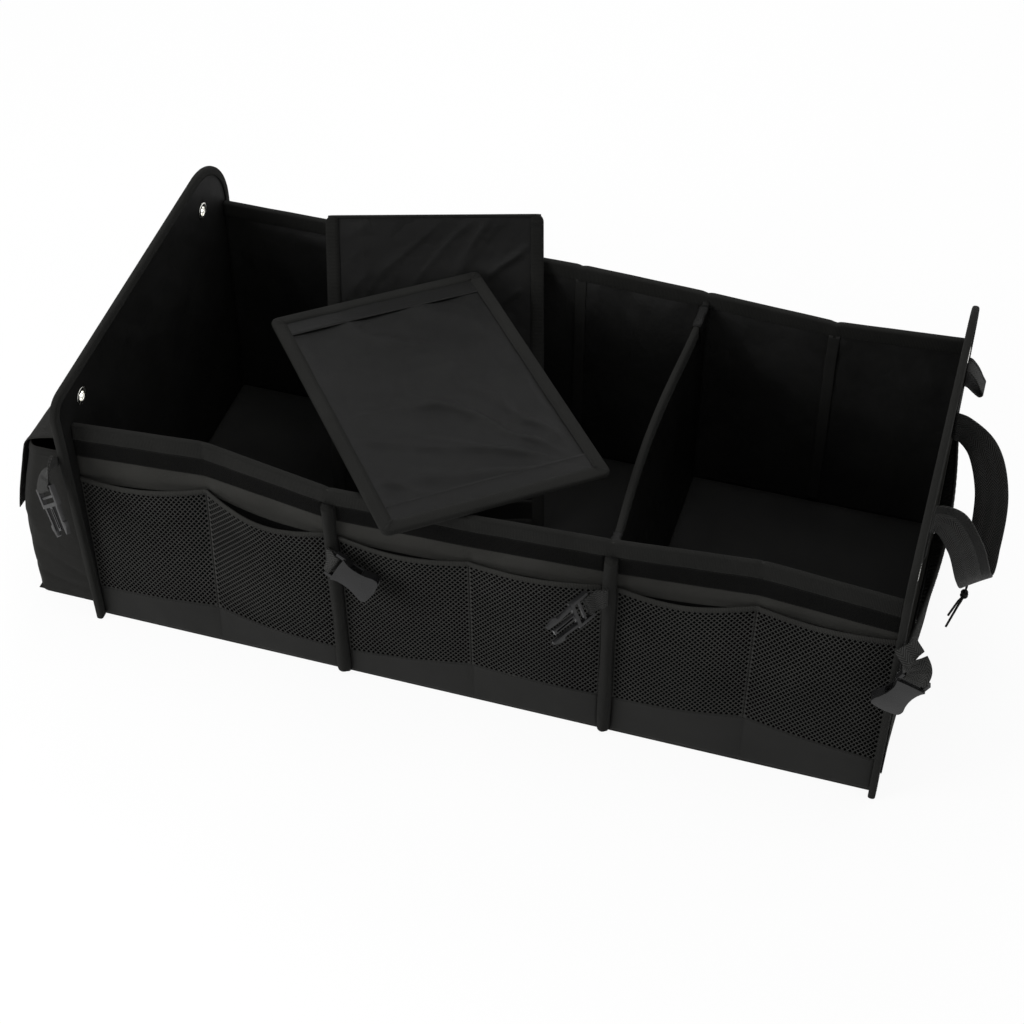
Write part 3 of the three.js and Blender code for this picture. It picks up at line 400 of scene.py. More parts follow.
def sewAlong(group, line, normals, pitch=3.6, length=2.5, width=0.32, body="organizer"):
    # a row of stitches on a line of points, kept until the group's mesh is made
    total = lengthOf(line)
    count = max(2, int(total / pitch))
    steps = [0.0]
    for a, b in zip(line, line[1:]):
        steps.append(steps[-1] + (b - a).length)
    parts = stitches.setdefault((group, body), [])
    for k in range(count):
        middle = total * (k + 0.5) / count
        i = min(len(line) - 2, max(0, int(np.searchsorted(steps, middle)) - 1))
        t = (middle - steps[i]) / max(1e-6, steps[i + 1] - steps[i])
        p = line[i].lerp(line[i + 1], t)
        way = (line[i + 1] - line[i]).normalized()
        up = normals[i] if isinstance(normals, list) else normals
        side = way.cross(up).normalized()
        way = (way + side * 0.1).normalized()
        parts.append((p, way * length / 2, side * width, Vector(up) * width))


def finishStitches():
    for (group, body), parts in stitches.items():
        points, faces = [], []
        for p, way, side, up in parts:
            k = len(points)
            points += [p - way, p + way, p - side, p + side, p + up, p - up]
            for a, b, c in ((0, 2, 4), (2, 1, 4), (1, 3, 4), (3, 0, 4),
                            (2, 0, 5), (1, 2, 5), (3, 1, 5), (0, 3, 5)):
                faces.append((k + a, k + b, k + c))
        makePiece("stitches_" + group, points, faces, thread, "tape", body=body)


def softenedCopy(name, bevel, material, body, segments=2, angle=32, uvs=None):
    # the CAD node's own shape with its edges rounded, as moulding leaves them
    source = nodes[name]
    bm = bmesh.new()
    bm.from_mesh(source.data)
    bmesh.ops.remove_doubles(bm, verts=bm.verts, dist=1e-5)
    bmesh.ops.dissolve_limit(bm, angle_limit=math.radians(1.0), verts=bm.verts, edges=bm.edges,
                             use_dissolve_boundaries=False)
    sharp = [e for e in bm.edges if len(e.link_faces) == 2
             and e.calc_face_angle(0) > math.radians(angle)]
    bmesh.ops.bevel(bm, geom=sharp, offset=bevel * mm, segments=segments, profile=0.6,
                    affect="EDGES", clamp_overlap=True)
    bmesh.ops.triangulate(bm, faces=[f for f in bm.faces if len(f.verts) > 4])
    mesh = bpy.data.meshes.new(name + "_moulded")
    bm.to_mesh(mesh)
    bm.free()
    for poly in mesh.polygons:
        poly.use_smooth = True
    mesh.set_sharp_from_angle(angle=math.radians(38))
    mesh.materials.append(material)
    obj = bpy.data.objects.new(name + "_moulded", mesh)
    bpy.context.scene.collection.objects.link(obj)
    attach(obj, body)
    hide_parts(name)
    return obj


# Materials

def newMaterial(name):
    material = bpy.data.materials.new(name)
    material.use_nodes = True
    tree = material.node_tree
    return material, tree, tree.nodes["Principled BSDF"]


# Short ways to add nodes
class Wiring:
    def __init__(self, tree):
        self.tree = tree

    def put(self, kind, inputs=None, **settings):
        node = self.tree.nodes.new(kind)
        for key, value in settings.items():
            setattr(node, key, value)
        for key, value in (inputs or {}).items():
            socket = node.inputs[key]
            if isinstance(value, bpy.types.NodeSocket):
                self.tree.links.new(value, socket)
            else:
                socket.default_value = value
        return node

    def maths(self, operation, a, b=0.0, c=0.0):
        return self.put("ShaderNodeMath", {0: a, 1: b, 2: c}, operation=operation).outputs[0]

    def noise(self, vector, scale, detail=3.0, roughness=0.55):
        return self.put("ShaderNodeTexNoise", {"Vector": vector, "Scale": scale, "Detail": detail,
                                               "Roughness": roughness}).outputs["Fac"]

    def remap(self, value, a, b, c, d):
        return self.put("ShaderNodeMapRange", {0: value, 1: a, 2: b, 3: c, 4: d}).outputs[0]


def clothMaterial(name, look):
    # woven or coated cloth, with its threads in the sheet's own coordinates
    material, tree, shader = newMaterial(name)
    w = Wiring(tree)
    texture = w.put("ShaderNodeTexCoord")
    flat = texture.outputs["UV"]
    solid = texture.outputs["Object"]
    part = w.put("ShaderNodeSeparateXYZ", {0: flat})
    u, v = part.outputs[0], part.outputs[1]
    turnU, turnV = 2 * math.pi / look["threadU"], 2 * math.pi / look["threadV"]
    weave = look["weave"]
    if weave == "plain":  # over and under
        pattern = w.maths("MULTIPLY", w.maths("SINE", w.maths("MULTIPLY", u, turnU)),
                          w.maths("SINE", w.maths("MULTIPLY", v, turnV)))
    elif weave == "rib":  # fine cross ribs, as on grosgrain tape
        rib = w.maths("SINE", w.maths("MULTIPLY", u, turnU))
        pattern = w.maths("ADD", w.maths("MULTIPLY", rib, 0.75), w.maths("MULTIPLY", w.maths(
            "SINE", w.maths("MULTIPLY", v, turnV)), 0.25))
    elif weave == "herring":  # webbing: zigzag of diagonal threads
        zig = w.maths("PINGPONG", v, look["threadV"] * 2.5)
        slant = w.maths("ADD", w.maths("MULTIPLY", u, turnU), w.maths("MULTIPLY", zig, turnV))
        pattern = w.maths("SINE", slant)
    else:
        pattern = w.noise(solid, 1 / look["threadU"], 2.0)
    fuzz = w.noise(solid, look.get("fuzzScale", 900), 2.0)
    cloud = w.noise(solid, look.get("cloudScale", 14), 4.0)
    height = w.maths("ADD", w.maths("MULTIPLY", pattern, look["relief"]),
                     w.maths("MULTIPLY", fuzz, look["fuzz"]))
    if look.get("crumple"):
        crumple = w.noise(solid, look["crumpleScale"], 3.0, 0.6)
        ridge = w.maths("ABSOLUTE", w.maths("SUBTRACT", crumple, 0.5))
        height = w.maths("ADD", height, w.maths("MULTIPLY", ridge, look["crumple"]))
    bump = w.put("ShaderNodeBump", {"Height": height, "Distance": 0.001, "Strength": 1.0})
    tree.links.new(bump.outputs[0], shader.inputs["Normal"])
    shade = w.maths("ADD", w.maths("MULTIPLY", pattern, look.get("shadeByWeave", 0.16)),
                    w.remap(cloud, 0.3, 0.7, 0.3, 0.7))
    ramp = w.put("ShaderNodeMix", {"Factor": shade}, data_type="RGBA")
    dark = tuple(c * look.get("darkest", 0.62) for c in look["colour"])
    pale = tuple(c * look.get("palest", 1.42) for c in look["colour"])
    ramp.inputs[6].default_value = (*dark, 1)
    ramp.inputs[7].default_value = (*pale, 1)
    tree.links.new(ramp.outputs[2], shader.inputs["Base Color"])
    rough = w.remap(cloud, 0.3, 0.7, look["roughness"] - 0.06, look["roughness"] + 0.06)
    tree.links.new(rough, shader.inputs["Roughness"])
    shader.inputs["Specular IOR Level"].default_value = look["gloss"]
    shader.inputs["Sheen Weight"].default_value = look.get("sheen", 0)
    shader.inputs["Sheen Roughness"].default_value = 0.5
    shader.inputs["Sheen Tint"].default_value = (0.9, 0.9, 0.88, 1)
    return material


def plasticMaterial(name, look):
    material, tree, shader = newMaterial(name)
    w = Wiring(tree)
    solid = w.put("ShaderNodeTexCoord").outputs["Object"]
    grain = w.noise(solid, look["grain"], 3.0)
    swirl = w.noise(solid, 60, 4.0)
    bump = w.put("ShaderNodeBump", {"Height": grain, "Distance": look["relief"], "Strength": 0.6})
    tree.links.new(bump.outputs[0], shader.inputs["Normal"])
    tone = w.put("ShaderNodeMix", {"Factor": swirl}, data_type="RGBA")
    tone.inputs[6].default_value = (*[c * 0.75 for c in look["colour"]], 1)
    tone.inputs[7].default_value = (*[c * 1.3 for c in look["colour"]], 1)
    tree.links.new(tone.outputs[2], shader.inputs["Base Color"])
    tree.links.new(w.remap(swirl, 0.3, 0.7, look["roughness"] - 0.05, look["roughness"] + 0.08),
                   shader.inputs["Roughness"])
    shader.inputs["Specular IOR Level"].default_value = look["gloss"]
    return material


def metalMaterial(name, look):
    material, tree, shader = newMaterial(name)
    w = Wiring(tree)
    solid = w.put("ShaderNodeTexCoord").outputs["Object"]
    scratch = w.noise(solid, 700, 4.0)
    tarnish = w.noise(solid, 90, 3.0)
    bump = w.put("ShaderNodeBump", {"Height": scratch, "Distance": 0.00004, "Strength": 0.5})
    tree.links.new(bump.outputs[0], shader.inputs["Normal"])
    tone = w.put("ShaderNodeMix", {"Factor": tarnish}, data_type="RGBA")
    tone.inputs[6].default_value = (*[c * 0.8 for c in look["colour"]], 1)
    tone.inputs[7].default_value = (*look["colour"], 1)
    tree.links.new(tone.outputs[2], shader.inputs["Base Color"])
    tree.links.new(w.remap(tarnish, 0.3, 0.7, look["roughness"] - 0.06, look["roughness"] + 0.1),
                   shader.inputs["Roughness"])
    shader.inputs["Metallic"].default_value = 1.0
    return material


# painted light: the oxford of the walls, end walls and base is set nearly three times as light as the
# same cloth on the cargo pocket (bagCloth), to make up for the shade on the wall cloth between the top
# tape and the pockets
oxford = clothMaterial("oxfordClothLightened", {
    "colour": (0.031, 0.0307, 0.0285), "weave": "plain", "threadU": 0.0011, "threadV": 0.0011,
    "relief": 0.16, "fuzz": 0.1, "roughness": 0.9, "gloss": 0.0, "sheen": 0.004,
    "shadeByWeave": 0.22})
bagCloth = clothMaterial("bagCloth", {
    "colour": (0.0115, 0.0114, 0.0105), "weave": "plain", "threadU": 0.0011, "threadV": 0.0011,
    "relief": 0.16, "fuzz": 0.1, "roughness": 0.7, "gloss": 0.06, "sheen": 0.012,
    "shadeByWeave": 0.22, "crumple": 5, "crumpleScale": 16})
lining = clothMaterial("liningCloth", {
    "colour": (0.0105, 0.0105, 0.0102), "weave": "plain", "threadU": 0.0006, "threadV": 0.0006,
    "relief": 0.05, "fuzz": 0.03, "roughness": 0.38, "gloss": 0.16, "crumple": 4,
    "crumpleScale": 13})
matteLining = clothMaterial("endLiningCloth", {
    "colour": (0.0055, 0.0055, 0.0053), "weave": "plain", "threadU": 0.0007, "threadV": 0.0007,
    "relief": 0.06, "fuzz": 0.05, "roughness": 0.55, "gloss": 0.06, "crumple": 3,
    "crumpleScale": 15})
nylon = clothMaterial("nylonCloth", {
    "colour": (0.0036, 0.0036, 0.0034), "weave": "plain", "threadU": 0.0007, "threadV": 0.0007,
    "relief": 0.06, "fuzz": 0.04, "roughness": 0.34, "gloss": 0.08, "crumple": 3.5,
    "crumpleScale": 12})
boardCloth = clothMaterial("boardCloth", {
    "colour": (0.0135, 0.0135, 0.0131), "weave": "plain", "threadU": 0.0007, "threadV": 0.0007,
    "relief": 0.06, "fuzz": 0.05, "roughness": 0.6, "gloss": 0.06, "crumple": 2, "crumpleScale": 12})
# painted shade: a near-black cloth for a sheet behind the pocket nets, standing in for the shadow the
# nets cast on the wall
netShadowCloth = clothMaterial("paintedNetShadowCloth", {
    "colour": (0.003, 0.003, 0.003), "weave": "plain", "threadU": 0.0011, "threadV": 0.0011,
    "relief": 0.16, "fuzz": 0.1, "roughness": 0.9, "gloss": 0.01})
coated = clothMaterial("coatedBand", {
    "colour": (0.0128, 0.0128, 0.0122), "weave": "grain", "threadU": 0.0013, "threadV": 0.0013,
    "relief": 0.12, "fuzz": 0.05, "roughness": 0.6, "gloss": 0.06})
tape = clothMaterial("bindingTape", {
    "colour": (0.0112, 0.0112, 0.0105), "weave": "rib", "threadU": 0.0016, "threadV": 0.0011,
    "relief": 0.2, "fuzz": 0.12, "roughness": 0.85, "gloss": 0.035, "sheen": 0.02,
    "shadeByWeave": 0.25})
mouthTape = clothMaterial("mouthTape", {
    "colour": (0.024, 0.0238, 0.0222), "weave": "rib", "threadU": 0.0016, "threadV": 0.0011,
    "relief": 0.2, "fuzz": 0.12, "roughness": 0.85, "gloss": 0.02, "shadeByWeave": 0.25})
hookTape = clothMaterial("hookTape", {
    "colour": (0.0052, 0.0052, 0.005), "weave": "grain", "threadU": 0.0009, "threadV": 0.0009,
    "relief": 0.3, "fuzz": 0.2, "roughness": 0.9, "gloss": 0.02})
net = clothMaterial("pocketNet", {
    "colour": (0.027, 0.027, 0.0255), "weave": "plain", "threadU": 0.0009, "threadV": 0.0009,
    "relief": 0.1, "fuzz": 0.08, "roughness": 0.75, "gloss": 0.05, "sheen": 0.01})
webbing = clothMaterial("strapWebbing", {
    "colour": (0.022, 0.022, 0.021), "weave": "herring", "threadU": 0.0034, "threadV": 0.0026,
    "relief": 0.45, "fuzz": 0.12, "roughness": 0.62, "gloss": 0.09, "sheen": 0.02,
    "shadeByWeave": 0.45, "darkest": 0.45, "palest": 1.7})
thread = clothMaterial("sewingThread", {
    "colour": (0.014, 0.014, 0.013), "weave": "grain", "threadU": 0.0006, "threadV": 0.0006,
    "relief": 0.1, "fuzz": 0.05, "roughness": 0.6, "gloss": 0.08})
cordLook = clothMaterial("braidedCord", {
    "colour": (0.0095, 0.0095, 0.009), "weave": "grain", "threadU": 0.0009, "threadV": 0.0009,
    "relief": 0.35, "fuzz": 0.1, "roughness": 0.65, "gloss": 0.08, "sheen": 0.015})
plastic = plasticMaterial("buckleNylon", {
    "colour": (0.0075, 0.0075, 0.0078), "grain": 1500, "relief": 0.00006, "roughness": 0.27,
    "gloss": 0.3})
steel = metalMaterial("eyeletSteel", {"colour": (0.86, 0.85, 0.8), "roughness": 0.24})
print("materials made")

# Camera, floor and light: places and sizes in metres, but for the camera's

cameraSet = {"place": (482.5, -1669.6, 1772.6), "azimuth": 16.74, "elevation": 44.05,
             "roll": 0.193, "lens": 73.82}
az, el, roll = (math.radians(cameraSet[k]) for k in ("azimuth", "elevation", "roll"))
back = Vector((math.sin(az) * math.cos(el), -math.cos(az) * math.cos(el), math.sin(el)))
right = (-back).cross(Vector((0, 0, 1))).normalized()
upward = right.cross(-back)
right, upward = (right * math.cos(roll) + upward * math.sin(roll),
                 upward * math.cos(roll) - right * math.sin(roll))
lens = bpy.data.cameras.new("photoCamera")
lens.lens = cameraSet["lens"]
lens.clip_end = 60
camera = bpy.data.objects.new("photoCamera", lens)
camera.matrix_world = Matrix.Translation(Vector(cameraSet["place"]) * mm) @ Matrix(
    (right, upward, back)).transposed().to_4x4()
bpy.context.scene.collection.objects.link(camera)
bpy.context.scene.camera = camera
bpy.context.scene.view_settings.view_transform = "Standard"

lamps = {
    "keyBox": {"place": (-1.5, -1.4, 1.2), "aim": (-0.2, 0, 0.1), "size": (1.1, 1.1), "power": 34},
    "topBox": {"place": (-0.4, 1.8, 2.1), "aim": (0, 0, 0.2), "size": (1.1, 0.7), "power": 20},
    "overBox": {"place": (0.5, 0.1, 2.8), "aim": (0.1, 0, 0), "size": (1.6, 1.2), "power": 18},
    "sideBox": {"place": (2.4, -0.9, 1.3), "aim": (0.2, 0, 0.2), "size": (1.0, 1.4), "power": 8},
}
studio = {"fill": 0.52, "white": 1.0, "whiteShare": 0.92, "floor": 9, "floorGap": 0.0004}


def softBox(name, place, aim, size, power):
    light = bpy.data.lights.new(name, "AREA")
    light.shape, light.size, light.size_y, light.energy = "RECTANGLE", size[0], size[1], power
    obj = bpy.data.objects.new(name, light)
    obj.location = place
    obj.rotation_mode = "QUATERNION"
    obj.rotation_quaternion = (Vector(place) - Vector(aim)).to_track_quat("Z", "Y")
    bpy.context.scene.collection.objects.link(obj)


def seenDirectly(w):
    # 1 for rays that should meet plain white: the camera's own and those through gloss or glass
    path = w.put("ShaderNodeLightPath")
    seen = w.maths("MAXIMUM", path.outputs["Is Camera Ray"], path.outputs["Is Glossy Ray"])
    return w.maths("MAXIMUM", seen, path.outputs["Is Transmission Ray"])


def whiteWorld():
    world = bpy.data.worlds.new("studio")
    bpy.context.scene.world = world
    world.use_nodes = True
    w = Wiring(world.node_tree)
    world.node_tree.nodes.clear()
    fill = w.put("ShaderNodeBackground", {"Color": (1, 1, 1, 1), "Strength": studio["fill"]})
    white = w.put("ShaderNodeBackground", {"Color": (1, 1, 1, 1), "Strength": studio["white"]})
    both = w.put("ShaderNodeMixShader",
                 {0: seenDirectly(w), 1: fill.outputs[0], 2: white.outputs[0]})
    w.put("ShaderNodeOutputWorld", {0: both.outputs[0]})


def whiteFloor():
    material, tree, shader = newMaterial("studioFloor")
    w = Wiring(tree)
    solid = w.put("ShaderNodeTexCoord").outputs["Object"]
    tone = w.remap(w.noise(solid, 3, 2.0), 0.3, 0.7, 0.8, 0.84)
    colour = w.put("ShaderNodeCombineColor", {0: tone, 1: tone, 2: tone}).outputs[0]
    tree.links.new(colour, shader.inputs["Base Color"])
    shader.inputs["Roughness"].default_value = 0.9
    shader.inputs["Specular IOR Level"].default_value = 0.1
    white = w.put("ShaderNodeEmission", {"Color": (1, 1, 1, 1), "Strength": studio["white"]})
    share = w.maths("MULTIPLY", seenDirectly(w), studio["whiteShare"])
    both = w.put("ShaderNodeMixShader", {0: share, 1: shader.outputs[0], 2: white.outputs[0]})
    tree.links.new(both.outputs[0], tree.nodes["Material Output"].inputs[0])
    bm = bmesh.new()
    bmesh.ops.create_grid(bm, x_segments=8, y_segments=8, size=studio["floor"])
    mesh = bpy.data.meshes.new("studioFloor")
    bm.to_mesh(mesh)
    bm.free()
    mesh.materials.append(material)
    floor = bpy.data.objects.new("studioFloor", mesh)
    floor.location = (0, 0, -studio["floorGap"])
    bpy.context.scene.collection.objects.link(floor)


for lampName, lamp in lamps.items():
    softBox(lampName, **lamp)
whiteWorld()
whiteFloor()
print("camera, floor and light")

# Drawcord, first of the pieces

drawcord = {
    "thickness": 2.6, "spacing": 3.4, "knot": (498.6, -10, 117), "knotTurns": 2.6,
    "route": [(470.6, 189), (482.6, 189), (491.6, 189), (497.6, 180), (499.6, 153)],
}


def tieCords():
    knot = Vector(drawcord["knot"])
    strands = []
    for side, name in ((-1, "front"), (1, "back")):
        y = side * drawcord["spacing"] / 2
        route = [Vector((x, y, z)) for x, z in drawcord["route"]]
        route.append(Vector((knot.x, knot.y + y * 0.6, knot.z)))
        route.append(Vector((knot.x - 5, knot.y + side * 5, knot.z - 18.4)))
        route.append(Vector((knot.x - 12, knot.y + side * 9, knot.z - 46)))
        line = catmull(route, 64)
        curve = bpy.data.curves.new("drawcord_" + name, "CURVE")
        curve.dimensions = "3D"
        curve.bevel_depth = drawcord["thickness"] / 2 * mm
        curve.bevel_resolution = 3
        curve.use_fill_caps = True
        spline = curve.splines.new("POLY")
        spline.points.add(len(line) - 1)
        for point, p in zip(spline.points, line):
            point.co = (*(p * mm), 1)
        curve.materials.append(cordLook)
        strand = bpy.data.objects.new("drawcord_" + name, curve)
        bpy.context.scene.collection.objects.link(strand)
        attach(strand, "organizer")
        strands.append((strand, line))
    loops, steps = [], 72  # the knot: cord turned round both strands
    for k in range(steps + 1):
        t = 2 * math.pi * drawcord["knotTurns"] * k / steps
        s = k / steps
        wide = 2.7 + 0.5 * math.sin(math.pi * s)
        loops.append(Vector((knot.x + wide * math.cos(t), knot.y + wide * math.sin(t) * 1.1,
                             knot.z + 3.4 - 6.8 * s + 0.9 * math.sin(t * 0.5))))
    stations = []
    for k, p in enumerate(loops):
        way = (loops[min(k + 1, steps)] - loops[max(k - 1, 0)]).normalized()
        across = way.cross(Vector((0, 0, 1))).normalized()
        stations.append((p, across, way.cross(across)))
    r = drawcord["thickness"] / 2
    ring = [(r * math.cos(2 * math.pi * k / 8), r * math.sin(2 * math.pi * k / 8))
            for k in range(8)]
    tie = sweepPiece("drawcord_knot", stations, ring, cordLook, "cord", replaces=["drawcord"])
    for strand, line in strands:
        [c * mm for c in line[0]]
        lengthOf(line) * mm


tieCords()
print("drawcord tied")


# Walls: an outer cloth and a lining on each board, creased at the fold in the section's middle
walls = {"cloth": 2.4, "lining": 2.3, "crease": 1.7, "creaseWidth": 4.0, "drape": 3.2}


def sectionEnds(index, gap):
    left = -halfLength + index * sectionLength
    ends = [left + gap, left + sectionLength - gap]
    if index == 0:
        ends[0] = -halfLength + box["wall"] + gap
    if index == 2:
        ends[1] = halfLength - box["wall"] - gap
    return ends


def sewWalls():
    zLow, zHigh = 1.8, box["height"] - 1.8
    for face, side in (("front", -1), ("back", 1)):
        for index, section in enumerate(sectionNames):
            x0, x1 = sectionEnds(index, box["clearance"])
            xm = middleOf(index)
            seed = index * 5 + side * 11

            def outer(u, v):
                t = u if side < 0 else 1 - u
                x, z = mix(x0, x1, t), mix(zLow, zHigh, v)
                return x, side * (halfWidth - 0.1 + leanAt(side, x, z)), z

            def outerBump(u, v, p):
                d = abs(p[0] - xm)
                crease = walls["crease"] * math.exp(-(d / walls["creaseWidth"]) ** 2)
                rim = smooth(min(u, 1 - u), 0, 0.03) * smooth(min(v, 1 - v), 0, 0.03)
                wave = 0.35 * rumple(p[0], p[2], size=55, seed=seed)
                wave += 0.12 * rumple(p[0], p[2], size=14)
                return -crease - 0.3 + wave * rim

            def inner(u, v):
                t = 1 - u if side < 0 else u
                x, z = mix(x0, x1, t), mix(zLow, zHigh, v)
                return x, side * (halfWidth - 4.8 + leanAt(side, x, z)), z

            def innerBump(u, v, p):
                x, z = p[0], p[2]
                d = abs(x - xm)
                crease = walls["crease"] * math.exp(-(d / 3.2) ** 2)
                ends = smooth(min(x - x0, x1 - x), 9, 30)
                rise = smooth(z, 12, 40) * (1 - smooth(z, 262, 280))
                drape = 0.9 * fold(x, z, 62, 2.4, 0.25, seed)
                drape += 0.45 * fold(x, z, 36, 3.0, 0.5, seed + 3)
                near = 0.12 + 0.88 * (z / box["height"]) ** 2.4  # fuller towards the top
                soft = 0.8 * rumple(x, z, size=70, seed=seed + 1)
                return -crease + ends * rise * (walls["drape"] * drape * near + soft)

            gridShell(f"{face}_wall_{section}_cloth", outer, 54, 40, walls["cloth"], oxford, "oxford",
                      outerBump, replaces=[f"{face}_wall_{section}"])
            gridShell(f"{face}_wall_{section}_lining", inner, 66, 50, walls["lining"], lining, "lining",
                      innerBump, under=0.0)
            strip = []  # tape over the lining's seam at the fold
            for z in np.linspace(8, 273, 61):
                y = side * (halfWidth - 6.2 + leanAt(side, xm, z))
                strip.append((Vector((xm + 0.6 * rumple(z, xm, size=50), y, z)), Vector((side, 0, 0)),
                              Vector((0, -side, 0))))
            sweepPiece(f"{face}_seam_{section}_tape", strip, roundedSection(13, 1.5), coated, "lining",
                       lambda s, a, b: (0, 0.35 * rumple(s, a, size=16, seed=seed)))


sewWalls()


# Tape over the tops of the long walls
def topStations(side, count):
    end = halfLength - box["wall"] - 2 * box["clearance"]
    stations = []
    for k in range(count + 1):
        x = mix(-end, end, k / count)
        lean = leanAt(side, x, box["height"])
        out = Vector((0, side * lean / box["height"], 1)).normalized()
        wave = 0.35 * rumple(x, side * 50, size=36, seed=3)
        nick = math.exp(-(math.remainder(x, foldPitch) / 3.5) ** 2)  # a dent at every fold
        y = side * (halfWidth + lean - halfWall) + wave - side * 0.5 * nick
        z = box["height"] - 0.2 - 1.3 * nick
        stations.append((Vector((x, y, z)), Vector((0, side, 0)), out))
    return stations


def bindTops():
    section = channelSection(halfWall + 0.5, box["tape"], box["bindingDrop"], 2.6)
    stitchDrop = 16.6
    for face, side in (("front", -1), ("back", 1)):

        def pucker(s, a, b):
            low = smooth(-b, 8, 19)
            return (0.3 * low * math.copysign(1, a) * rumple(s, b, size=9, seed=side),
                    0.35 * low * rumple(s, a, size=22, seed=4))

        stations = topStations(side, 260)
        sweepPiece(f"{face}_top_tape", stations, section, tape, "tape", pucker,
                   replaces=[f"{face}_top_binding"])
        for facing in (1, -1):
            line = [o + a * facing * (halfWall + 1.95) - up * stitchDrop for o, a, up in stations]
            sewAlong("tops", line, Vector((0, side * facing, 0)))


bindTops()


# Ribs: folded tape that stands out of the seams between sections
ribs = {"width": 15, "reach": 13, "bottom": 2.5}


def standRibs():
    for face, side in (("front", -1), ("back", 1)):
        for name, x in (("left", -foldPitch), ("right", foldPitch)):
            stations, top = [], box["height"] - box["bindingDrop"] - 0.4
            steps = 90
            for k in range(steps + 1):
                z = mix(ribs["bottom"], top, k / steps)
                y = side * (halfWidth + leanAt(side, x, z) + 0.6)
                stations.append((Vector((x + 0.7 * rumple(z, x, size=60), y, z)),
                                 Vector((1, 0, 0)), Vector((0, side, 0))))

            def section(k):
                rise = k / steps * (top - ribs["bottom"])
                closing = 1 - 0.55 * (1 - smooth(rise, 0, 9)) ** 2
                wide = ribs["width"] / 2 * (0.9 + 0.08 * math.sin(rise / 24 + x))
                wide *= 0.75 + 0.25 * closing
                deep = (ribs["reach"] - 0.8) * closing * (0.96 + 0.04 * math.sin(rise / 17))
                points = [(-wide, 0), (wide, 0)]
                for m in range(13):
                    t = math.pi * m / 12
                    points.append((wide * math.cos(t) * (1 - 0.12 * math.sin(t) ** 2),
                                   deep * (0.42 + 0.58 * math.sin(t))))
                return points

            sweepPiece(f"{face}_rib_{name}_tape", stations, section, tape, "tape",
                       lambda s, a, b: (0.25 * rumple(s, a * 3, size=12, seed=x), 0),
                       replaces=[f"{face}_rib_{name}"])
            for flank in (-1, 1):
                line = [o + Vector((flank * (ribs["width"] / 2 - 0.15), side * 3.2, 0))
                        for o, _, _ in stations[4:-3]]
                sewAlong("ribs", line, Vector((flank, 0, 0)))


standRibs()


# Front pockets: hook strip, open net with a taped mouth, and a coated band below
pockets = {
    "bulge": [8, 15, 8, 6, 10, 6], "sag": [4, 7, 3, 2, 4, 2], "thickness": 1.1, "bandBottom": 4,
    "tapeHeight": 5.5, "topAtFold": [217, 229, 224, 225, 228, 233, 238],
    "bandAtFold": [48, 56, 37, 62, 57, 71, 52],
    "netPitch": (5.6, 7.0), "strand": 0.6, "netThickness": 0.5, "seamGap": 0.4,
    "ribGap": 7.8,  # from a section's end to the pocket, half a rib and a little more
}


def pocketEnds(index):
    left = -halfLength + index * sectionLength
    wallGap = box["wall"] + box["gap"]
    return (left + (wallGap if index == 0 else pockets["ribGap"]),
            left + sectionLength - (wallGap if index == 2 else pockets["ribGap"]))


def swell(x, seams):
    for a, b in zip(seams, seams[1:]):
        if x <= b:
            return math.sin(math.pi * clamp((x - a) / (b - a)))
    return 0.0


def pocketAt(x):
    return int(clamp((x + halfLength) // foldPitch, 0, 5))


def standOff(x, z, seams):
    top = atFold(pockets["topAtFold"], x)
    rise = clamp((z - pockets["bandBottom"]) / (top - pockets["bandBottom"]))
    return 0.6 + pockets["bulge"][pocketAt(x)] * swell(x, seams) * rise ** 0.7


def mouthAt(x, seams):
    return atFold(pockets["topAtFold"], x) - pockets["sag"][pocketAt(x)] * swell(x, seams)


